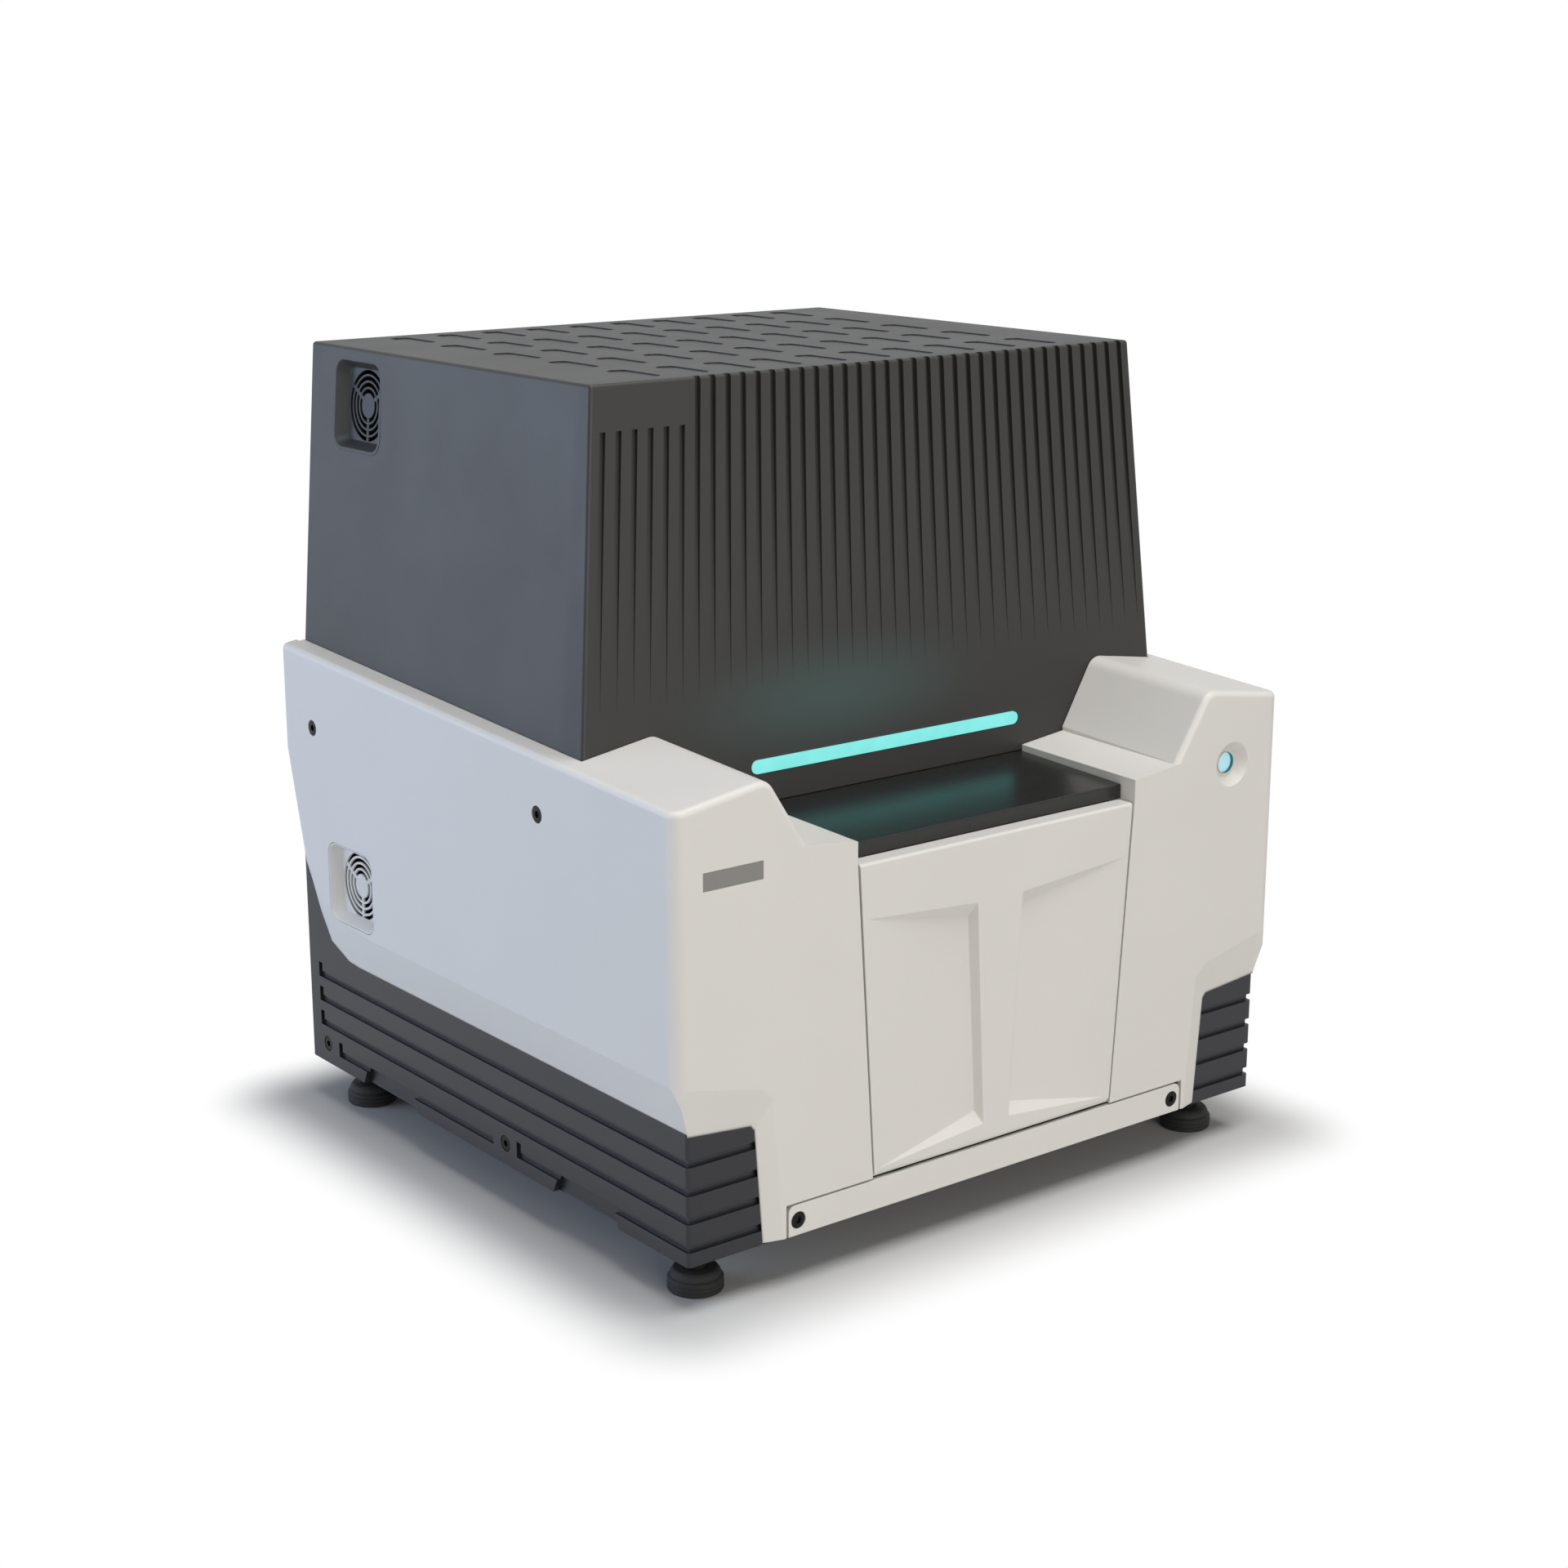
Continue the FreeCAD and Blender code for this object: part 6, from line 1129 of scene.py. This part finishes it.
@dataclass
class FrontDoor(SubAssembly):
    """Front door with its hinge, and the deck cover above it."""

    plan: DoorPlan = DoorPlan()

    def build(self) -> None:
        """Dresses the hinge and the deck and moulds the door."""
        self.dress("steel_ground", "door_pins")
        self.dress("nylon_glass_filled_black", "door_brackets", "deck_rails")
        self.dress("acrylic_dark_polished", "deck_cover")
        self.door()

    def door(self) -> None:
        """Moulds the door with its raised T between two sloped recesses."""
        plan = self.plan
        low, high = box_of("front_door")
        front, back = low.y, low.y + plan.thick
        foot, top = low.z, high.z
        shape = bmesh.new()

        def vert(x: float, y: float, z: float) -> bmesh.types.BMVert:
            """Adds one vert."""
            return shape.verts.new((x, y, z))

        corners = {}
        for sign in (-1, 1):
            corners[sign] = {
                "top": vert(sign * plan.half_top, front, top),
                "foot": vert(sign * plan.half_low, front, foot),
                "top_back": vert(sign * plan.half_top, back, top),
                "foot_back": vert(sign * plan.half_low, back, foot),
                "outer_top": vert(sign * (plan.half_top - plan.rim_top), front, top - plan.drop_outer),
                "inner_top": vert(sign * plan.stem_top, front, top - plan.drop_inner),
                "inner_low": vert(sign * plan.stem_low, front, foot + plan.lift_inner),
                "outer_low": vert(sign * (plan.half_low - plan.rim_low), front, foot + plan.lift_outer),
                "floor_top": vert(sign * (plan.stem_top + plan.draft), front + plan.deep,
                                  top - plan.drop_inner - plan.ramp_top),
            }
            spots = corners[sign]
            normal = (spots["outer_low"].co - spots["outer_top"].co).cross(
                spots["floor_top"].co - spots["outer_top"].co)
            x = sign * (plan.stem_low + plan.draft)
            z = foot + plan.lift_inner + plan.ramp_low
            start = spots["outer_top"].co
            y = start.y - ((x - start.x) * normal.x + (z - start.z) * normal.z) / normal.y
            spots["floor_low"] = vert(x, y, z)
        left, right = corners[-1], corners[1]
        faces = [
            (left["top"], left["outer_top"], left["inner_top"], right["inner_top"], right["outer_top"],
             right["top"]),
            (left["inner_top"], left["inner_low"], right["inner_low"], right["inner_top"]),
            (left["foot"], right["foot"], right["outer_low"], right["inner_low"], left["inner_low"],
             left["outer_low"]),
            (left["top"], right["top"], right["top_back"], left["top_back"]),
            (left["foot"], left["foot_back"], right["foot_back"], right["foot"]),
            (left["top_back"], right["top_back"], right["foot_back"], left["foot_back"]),
        ]
        for spots in (left, right):
            faces += [
                (spots["top"], spots["foot"], spots["outer_low"], spots["outer_top"]),
                (spots["top"], spots["top_back"], spots["foot_back"], spots["foot"]),
                (spots["outer_top"], spots["outer_low"], spots["floor_low"], spots["floor_top"]),
                (spots["outer_top"], spots["floor_top"], spots["inner_top"]),
                (spots["outer_low"], spots["inner_low"], spots["floor_low"]),
                (spots["inner_top"], spots["floor_top"], spots["floor_low"], spots["inner_low"]),
            ]
        for face in faces:
            shape.faces.new(face)
        bmesh.ops.recalc_face_normals(shape, faces=shape.faces)
        self.soften(shape, plan.foot_round, lambda a, b: a.z == b.z == foot and a.y == b.y == front, 6)
        self.soften(shape, plan.top_round, lambda a, b: a.z == b.z == top and a.y == b.y == front, 4)
        deep = front + plan.off_front
        self.soften(shape, plan.recess_round, lambda a, b: max(a.y, b.y) < back - plan.off_back
                    and (max(a.y, b.y) > deep or self.on_recess(a, b, foot, top)), 4)
        for point in shape.verts:
            point.co.y = max(point.co.y, front)
        self.piece("front_door_panel", self.slotted(shape), "abs_white_spark_eroded", "door",
                   ("front_door",), True)

    def slotted(self, shape: bmesh.types.BMesh) -> bmesh.types.BMesh:
        """Cuts the slots in the door's back that the hinge brackets stand in.

        Args:
            shape: The door's bmesh, which is used up.

        Returns:
            The door with its slots.
        """
        plan = self.plan
        slots = bmesh.new()
        for sign in (-1, 1):
            made = bmesh.ops.create_cube(slots, size=1.0)
            for vert in made["verts"]:
                vert.co = Vector((sign * plan.slot_middle + math.copysign(plan.slot_half, vert.co.x),
                                  plan.slot_y[vert.co.y > 0], plan.slot_z[vert.co.z > 0]))
        blank, tool = as_object("door_blank", shape), as_object("slot_tool", slots)
        cut = blank.modifiers.new("slots", "BOOLEAN")
        cut.operation = "DIFFERENCE"
        cut.solver = "EXACT"
        cut.object = tool
        solved = blank.evaluated_get(bpy.context.evaluated_depsgraph_get())
        result = bmesh.new()
        result.from_mesh(solved.to_mesh())
        solved.to_mesh_clear()
        for thing in (blank, tool):
            mesh = thing.data
            bpy.data.objects.remove(thing)
            bpy.data.meshes.remove(mesh)
        return result

    def on_recess(self, a: Vector, b: Vector, foot: float, top: float) -> bool:
        """Whether an edge of the front face borders a recess.

        Args:
            a: One end of the edge.
            b: Its other end.
            foot: Height of the door's lower edge.
            top: Height of its top edge.

        Returns:
            True for a border of a recess.
        """
        plan = self.plan
        between = foot + plan.off_foot < min(a.z, b.z) and max(a.z, b.z) < top - plan.off_top
        return between and a.x * b.x > 0

    def soften(self, shape: bmesh.types.BMesh, radius: float, wanted: Callable[[Vector, Vector], bool],
               segments: int) -> None:
        """Rounds the edges that a test picks.

        Args:
            shape: Bmesh to work on.
            radius: How far the rounding reaches from each edge.
            wanted: Test of an edge's two ends.
            segments: Segments of the rounding.
        """
        edges = [edge for edge in shape.edges if wanted(edge.verts[0].co, edge.verts[1].co)]
        bevel(shape, edges, radius, segments)


@dataclass(frozen=True)
class ScrewPlan:
    """Places of the cover screws of one CAD node, with the way their heads face."""

    node: str
    outward: tuple[tuple[float, float, float], ...]
    places: tuple[tuple[float, float, float], ...]


@dataclass
class Fasteners(SubAssembly):
    """Blackened cover screws with hexagon sockets."""

    head_radius: float = 6.4 * MM
    head_deep: float = 2.2 * MM
    head_edge: float = 0.6 * MM
    socket_flats: float = 5.0 * MM
    socket_deep: float = 1.5 * MM

    def build(self) -> None:
        """Makes each node's screws as one piece."""
        left = (-1.0, 0.0, 0.0)
        right = (1.0, 0.0, 0.0)
        front = (0.0, -1.0, 0.0)
        shell_x, base_x = 297.5 * MM, 285.0 * MM
        plans = (
            ScrewPlan("strip_screws", (front, front),
                      ((-192 * MM, -271.5 * MM, 50.4 * MM), (192 * MM, -271.5 * MM, 50.4 * MM))),
            ScrewPlan("shell_screws", (left, left, right, right),
                      tuple((x, y, 336.5 * MM) for x in (-shell_x, shell_x)
                            for y in (228.2 * MM, -106.1 * MM))),
            ScrewPlan("base_screws", (left, left, right, right),
                      tuple((x, y, 55.0 * MM) for x in (-base_x, base_x)
                            for y in (248.7 * MM, -30.9 * MM))),
        )
        for plan in plans:
            shape = bmesh.new()
            for outward, place in zip(plan.outward, plan.places):
                self.screw(shape, Vector(place), Vector(outward))
            self.piece(plan.node + "_heads", shape, "steel_blackened", "chassis", (plan.node,))

    def screw(self, shape: bmesh.types.BMesh, seat: Vector, outward: Vector) -> None:
        """Adds one screw head with its socket.

        Args:
            shape: Bmesh that gets the screw.
            seat: Middle of the head's underside.
            outward: Direction in which the head faces.
        """
        made = bmesh.ops.create_cone(shape, cap_ends=True, cap_tris=False, segments=36,
                                     radius1=self.head_radius, radius2=self.head_radius,
                                     depth=self.head_deep)
        verts = made["verts"]
        bmesh.ops.translate(shape, vec=(0, 0, self.head_deep / 2), verts=verts)
        faces = list({face for vert in verts for face in vert.link_faces})
        top = max(faces, key=lambda face: face.calc_center_median().z)
        rounded = bevel(shape, list(top.edges), self.head_edge, 3)
        verts = list({v for v in verts if v.is_valid} | set(rounded))
        faces = list({face for vert in verts for face in vert.link_faces})
        top = max(faces, key=lambda face: face.calc_center_median().z)
        corner = self.socket_flats / math.sqrt(3)
        bmesh.ops.inset_region(shape, faces=[top], thickness=self.head_radius - self.head_edge - corner,
                               depth=0.0, use_even_offset=True)
        for vert in top.verts:
            angle = math.atan2(vert.co.y, vert.co.x)
            sector = (angle % (math.pi / 3)) - math.pi / 6
            reach = corner * math.cos(math.pi / 6) / math.cos(sector)
            vert.co.x, vert.co.y = reach * math.cos(angle), reach * math.sin(angle)
        sunk = bmesh.ops.extrude_face_region(shape, geom=[top])
        floor = [v for v in sunk["geom"] if isinstance(v, bmesh.types.BMVert)]
        bmesh.ops.translate(shape, vec=(0, 0, -self.socket_deep), verts=floor)
        if top.is_valid:
            bmesh.ops.delete(shape, geom=[top], context="FACES_ONLY")
        move_to(shape, self.island(floor[0]), seat, outward)

    def island(self, start: bmesh.types.BMVert) -> list[bmesh.types.BMVert]:
        """All verts joined to one vert by edges.

        Args:
            start: The vert to start from.

        Returns:
            The verts of its island.
        """
        seen = {start}
        open_verts = [start]
        while open_verts:
            for edge in open_verts.pop().link_edges:
                for vert in edge.verts:
                    if vert not in seen:
                        seen.add(vert)
                        open_verts.append(vert)
        return list(seen)


@dataclass
class PowerSwitch(SubAssembly):
    """Lit power button that sits deep in its bezel, with the switch behind."""

    bezel_radius: float = 9.1 * MM
    bore_radius: float = 8.6 * MM
    cap_radius: float = 8.3 * MM
    cap_sunk: float = 2.9 * MM
    cap_thick: float = 0.8 * MM
    cap_edge: float = 0.3 * MM
    stem_radius: float = 6.4 * MM
    rim: float = 0.25 * MM

    def build(self) -> None:
        """Dresses the switch and turns its bezel, liner and cap."""
        self.dress("nylon_glass_filled_black", "button_switch")
        low, high = box_of("button_ring")
        face = Vector(((low.x + high.x) / 2, low.y, (low.z + high.z) / 2))
        deep = high.y - low.y
        inward = Vector((0, 1, 0))
        rim = self.rim
        bezel = [(self.bore_radius, deep), (self.bore_radius, rim), (self.bore_radius + rim, 0.0),
                 (self.bezel_radius - rim, 0.0), (self.bezel_radius, rim), (self.bezel_radius, deep),
                 (self.bore_radius, deep)]
        self.piece("button_bezel", self.turned(bezel, face, inward), "abs_white_spark_eroded", "chassis",
                   ("button_ring",))
        outside, inside = self.bore_radius - 0.02 * MM, self.cap_radius + 0.08 * MM
        # The liner's teal colour is painted light from the button on the shaded wall of the well.
        liner = [(outside, deep), (outside, rim * 2), (inside, rim * 2), (inside, deep), (outside, deep)]
        self.piece("button_liner", self.turned(liner, face, inward), "polycarbonate_smoked_painted_teal_glow",
                   "chassis")
        sunk, edge = self.cap_sunk, self.cap_edge
        back = box_of("power_button")[1].y - low.y
        cap = [(0.0, sunk), (self.cap_radius - edge * 2, sunk),
               (self.cap_radius - edge * 0.6, sunk + edge * 0.3),
               (self.cap_radius, sunk + edge), (self.cap_radius, sunk + self.cap_thick),
               (self.stem_radius, sunk + self.cap_thick), (self.stem_radius, back), (0.0, back)]
        self.piece("button_cap", self.turned(cap, face, inward), "polycarbonate_opal_lit_ice", "button",
                   ("power_button",))


@dataclass
class Feet(SubAssembly):
    """Levelling feet: a moulded rubber pad on a threaded stud."""

    places: tuple[str, ...] = ("front_left", "front_right", "rear_left", "rear_right")
    pad_radius: float = 20.75 * MM
    pad_tall: float = 17.5 * MM
    stud_radius: float = 5.0 * MM
    thread_pitch: float = 1.5 * MM

    def build(self) -> None:
        """Makes the pads and studs and dresses the nuts."""
        self.dress("steel_blackened", "foot_nuts")
        for name in self.places:
            node = "foot_" + name
            low, high = box_of(node)
            centre = Vector(((low.x + high.x) / 2, (low.y + high.y) / 2, low.z))
            self.pad(name, node, centre)
            self.stud(name, centre, high.z)

    def pad(self, name: str, node: str, centre: Vector) -> None:
        """Turns the rubber pad, with two grip rings round its rim.

        Args:
            name: Which foot.
            node: Its CAD node.
            centre: Middle of its underside.
        """
        r, t = self.pad_radius, self.pad_tall
        profile = [(0, 0.6 * MM), (r - 8 * MM, 0.6 * MM), (r - 7.4 * MM, 0), (r - 2 * MM, 0),
                   (r - 0.7 * MM, 0.5 * MM), (r, 1.6 * MM), (r, 3.4 * MM), (r - 0.6 * MM, 3.9 * MM),
                   (r - 0.6 * MM, 4.5 * MM), (r, 5.0 * MM), (r, 6.6 * MM), (r - 0.6 * MM, 7.1 * MM),
                   (r - 0.6 * MM, 7.7 * MM), (r, 8.2 * MM), (r, t * 0.55), (r - 0.8 * MM, t * 0.62),
                   (r - 2.0 * MM, t * 0.66), (r - 2.3 * MM, t * 0.78), (r - 2.6 * MM, t * 0.84),
                   (r - 4.4 * MM, t - 0.4 * MM), (r - 5.4 * MM, t), (0, t)]
        shape = self.turned(profile, centre, Vector((0, 0, 1)))
        self.piece("foot_pad_" + name, shape, "rubber_moulded_black", name + "_foot", (node,))

    def stud(self, name: str, centre: Vector, top: float) -> None:
        """Turns the stud with its collar and threads.

        Args:
            name: Which foot.
            centre: Middle of the foot's underside.
            top: Height of the stud's end.
        """
        r, pitch = self.stud_radius, self.thread_pitch
        start = self.pad_tall - 0.4 * MM
        profile = [(0, start), (r + 5 * MM, start), (r + 5 * MM, start + 12.6 * MM),
                   (r + 4.2 * MM, start + 13.4 * MM), (r - 0.5 * MM, start + 13.4 * MM)]
        along = start + 13.6 * MM
        while along + pitch < top - 0.5 * MM:
            profile += [(r - 0.6 * MM, along), (r, along + pitch / 2)]
            along += pitch
        profile += [(r - 0.6 * MM, along), (r - 1 * MM, top), (0, top)]
        shape = self.turned(profile, centre, Vector((0, 0, 1)), 32)
        self.piece("foot_stud_" + name, shape, "steel_blackened", name + "_foot")


class SampleBay(SubAssembly):
    """Stage, labware and the walls of the sample bay."""

    def build(self) -> None:
        """Dresses the bay."""
        self.dress("steel_zinc_plated", "bay_walls")
        self.dress("aluminium_anodised_silver", "stage_bed", "stage_plate", "heater_block")
        self.dress("steel_ground", "stage_rails", "stage_screw")
        self.dress("nylon_glass_filled_black", "screw_bearings", "stage_motor")
        self.dress("polystyrene_black", "sample_plate")
        self.dress("polypropylene_blue", "sensor_tray")


class Gantry(SubAssembly):
    """Gantry, sensor head and optics."""

    def build(self) -> None:
        """Dresses the gantry."""
        self.dress("steel_zinc_plated", "left_upright", "right_upright")
        self.dress("aluminium_anodised_silver", "gantry_beam", "x_carriage", "head_plate", "light_source")
        self.dress("steel_ground", "x_rail", "z_rail")
        self.dress("nylon_glass_filled_black", "sensor_head", "spectrometer")
        self.dress("polystyrene_clear", "sensor_tips")
        self.dress("pvc_orange", "fibre_bundle")


class Services(SubAssembly):
    """Mains inlet, ports and electronics."""

    def build(self) -> None:
        """Dresses the services."""
        self.dress("nylon_glass_filled_black", "mains_inlet", "port_block")
        self.dress("pbt_gloss_black", "rocker_switch")
        self.dress("steel_zinc_plated", "power_supply", "board_standoffs")
        self.dress("glass_fibre_solder_mask", "controller_board")


@dataclass
class Studio:
    """White floor with a painted grey shadow band round the object, white backdrop, plain soft lamps and
    the camera.
    """

    camera_place: tuple[float, float, float] = (-1.3092, -1.6835, 0.8542)
    camera_forward: tuple[float, float, float] = (0.5959, 0.7609, -0.2566)
    camera_up: tuple[float, float, float] = (0.1582, 0.2020, 0.9665)
    lens_mm: float = 61.74
    sensor_mm: float = 36.0
    floor_half: float = 14.0
    # Grey of the lit floor round the object, darker than the white beyond it: painted shadow.
    shadow_band_grey: str = "CFCECC"
    fill: float = 0.20
    footprint: tuple[float, float, float] = (0.29, 0.27, 0.0)
    shadow_near: float = 0.01
    shadow_far: float = 0.10
    mirrored: float = 0.62

    def build(self) -> None:
        """Sets up the studio."""
        self.camera()
        self.floor()
        self.world()
        self.lamps()
        bpy.context.scene.view_settings.view_transform = "Standard"

    def camera(self) -> None:
        """Places the camera at the photograph's viewing angle."""
        data = bpy.data.cameras.new("camera")
        data.lens = self.lens_mm
        data.sensor_width = self.sensor_mm
        data.clip_end = 50
        thing = bpy.data.objects.new("camera", data)
        forward = Vector(self.camera_forward).normalized()
        up = Vector(self.camera_up).normalized()
        right = forward.cross(up).normalized()
        up = right.cross(forward)
        turn = Matrix((right, up, -forward)).transposed().to_4x4()
        thing.matrix_world = Matrix.Translation(self.camera_place) @ turn
        bpy.context.scene.collection.objects.link(thing)
        bpy.context.scene.camera = thing

    def floor(self) -> None:
        """Lays a wide floor that the camera sees white beyond a band round the object's footprint; inside
        the band it is a grey lit floor, a painted shadow that also keeps the object's real shadow.
        """
        shape = bmesh.new()
        bmesh.ops.create_grid(shape, x_segments=1, y_segments=1, size=self.floor_half)
        thing = as_object("studio_floor", shape)
        material = bpy.data.materials.new("paper_white")
        material.use_nodes = True
        tree = material.node_tree
        tree.nodes.clear()
        paper = add_node(tree, "ShaderNodeBsdfDiffuse", {"Color": linear(self.shadow_band_grey)})
        glow = add_node(tree, "ShaderNodeEmission", {"Color": (1, 1, 1, 1), "Strength": 1.0})
        place = add_node(tree, "ShaderNodeTexCoord").outputs["Object"]
        # Painted shadow: within shadow_far of the footprint the camera sees the grey floor lit by the
        # lamps, and beyond it white emission.
        spread = add_node(tree, "ShaderNodeVectorMath", {"operation": "ABSOLUTE"}, {0: place})
        beyond = add_node(tree, "ShaderNodeVectorMath", {"operation": "SUBTRACT", 1: self.footprint},
                          {0: spread.outputs["Vector"]})
        outside = add_node(tree, "ShaderNodeVectorMath", {"operation": "MAXIMUM", 1: (0.0, 0.0, 0.0)},
                           {0: beyond.outputs["Vector"]})
        reach = add_node(tree, "ShaderNodeVectorMath", {"operation": "LENGTH"},
                         {0: outside.outputs["Vector"]})
        far = add_node(tree, "ShaderNodeMapRange",
                       {"interpolation_type": "SMOOTHSTEP", "From Min": self.shadow_near,
                        "From Max": self.shadow_far}, {"Value": reach.outputs["Value"]})
        seen = add_node(tree, "ShaderNodeMath", {"operation": "MULTIPLY"},
                        {0: self.seen_or_mirrored(tree), 1: far.outputs["Result"]})
        pick = add_node(tree, "ShaderNodeMixShader",
                        links={0: seen.outputs[0], 1: paper.outputs[0], 2: glow.outputs[0]})
        output = add_node(tree, "ShaderNodeOutputMaterial")
        tree.links.new(pick.outputs[0], output.inputs["Surface"])
        thing.data.materials.append(material)

    def seen_or_mirrored(self, tree: bpy.types.NodeTree) -> bpy.types.NodeSocket:
        """Adds the share of white that the camera and the glossy surfaces see.

        Args:
            tree: Node tree of the floor or the world.

        Returns:
            The socket with 1 for a camera ray and a share for a glossy ray.
        """
        rays = add_node(tree, "ShaderNodeLightPath")
        share = add_node(tree, "ShaderNodeMath", {"operation": "MULTIPLY", 1: self.mirrored},
                         {0: rays.outputs["Is Glossy Ray"]})
        either = add_node(tree, "ShaderNodeMath", {"operation": "MAXIMUM"},
                          {0: rays.outputs["Is Camera Ray"], 1: share.outputs[0]})
        return either.outputs[0]

    def world(self) -> None:
        """Gives a white background and a soft even fill."""
        world = bpy.data.worlds.new("studio")
        bpy.context.scene.world = world
        world.use_nodes = True
        tree = world.node_tree
        tree.nodes.clear()
        fill = add_node(tree, "ShaderNodeBackground",
                        {"Color": (0.95, 0.98, 1.0, 1), "Strength": self.fill})
        white = add_node(tree, "ShaderNodeBackground", {"Color": (1, 1, 1, 1), "Strength": 1.0})
        pick = add_node(tree, "ShaderNodeMixShader",
                        links={0: self.seen_or_mirrored(tree), 1: fill.outputs[0], 2: white.outputs[0]})
        output = add_node(tree, "ShaderNodeOutputWorld")
        tree.links.new(pick.outputs[0], output.inputs["Surface"])

    def lamp(self, name: str, place: tuple[float, float, float], aim: tuple[float, float, float],
             size: tuple[float, float], watts: float, colour: str) -> None:
        """Hangs one soft rectangular lamp.

        Args:
            name: Name of the lamp.
            place: Where it hangs.
            aim: Where it points.
            size: Width and height of the lamp in metres.
            watts: Its power.
            colour: Its colour as hex.
        """
        data = bpy.data.lights.new(name, "AREA")
        data.shape = "RECTANGLE"
        data.size, data.size_y = size
        data.energy = watts
        data.color = linear(colour)[:3]
        thing = bpy.data.objects.new(name, data)
        thing.location = place
        thing.rotation_euler = (Vector(aim) - Vector(place)).to_track_quat("-Z", "Y").to_euler()
        bpy.context.scene.collection.objects.link(thing)

    def lamps(self) -> None:
        """Front, left and top lamps."""
        self.lamp("front_lamp", (-0.5, -3.4, 0.9), (0, 0, 0.35), (2.8, 1.4), 44.0, "FFFBF4")
        self.lamp("left_lamp", (-2.9, 1.7, 0.75), (0, 0.1, 0.35), (3.0, 1.3), 62.0, "C6DCFF")
        self.lamp("top_lamp", (0.0, -0.9, 3.0), (0, -0.1, 0), (2.2, 1.6), 63.0, "FFFFFF")


def main() -> None:
    """Builds and dresses the instrument in its studio."""
    logging.basicConfig(level=logging.INFO, format="%(message)s")
    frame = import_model()
    for thing in list(bpy.data.objects):
        if thing.type in {"CAMERA", "LIGHT"} or thing.name == "Cube":
            bpy.data.objects.remove(thing)
    finishes = Finishes()
    Studio().build()
    for kind in (Housing, Hood, Vents, FrontDoor, Fasteners, PowerSwitch, Feet, SampleBay, Gantry,
                 Services):
        kind(frame, finishes).build()
        LOG.info("finished %s", kind.__name__)


if __name__ == "__main__":
    main()
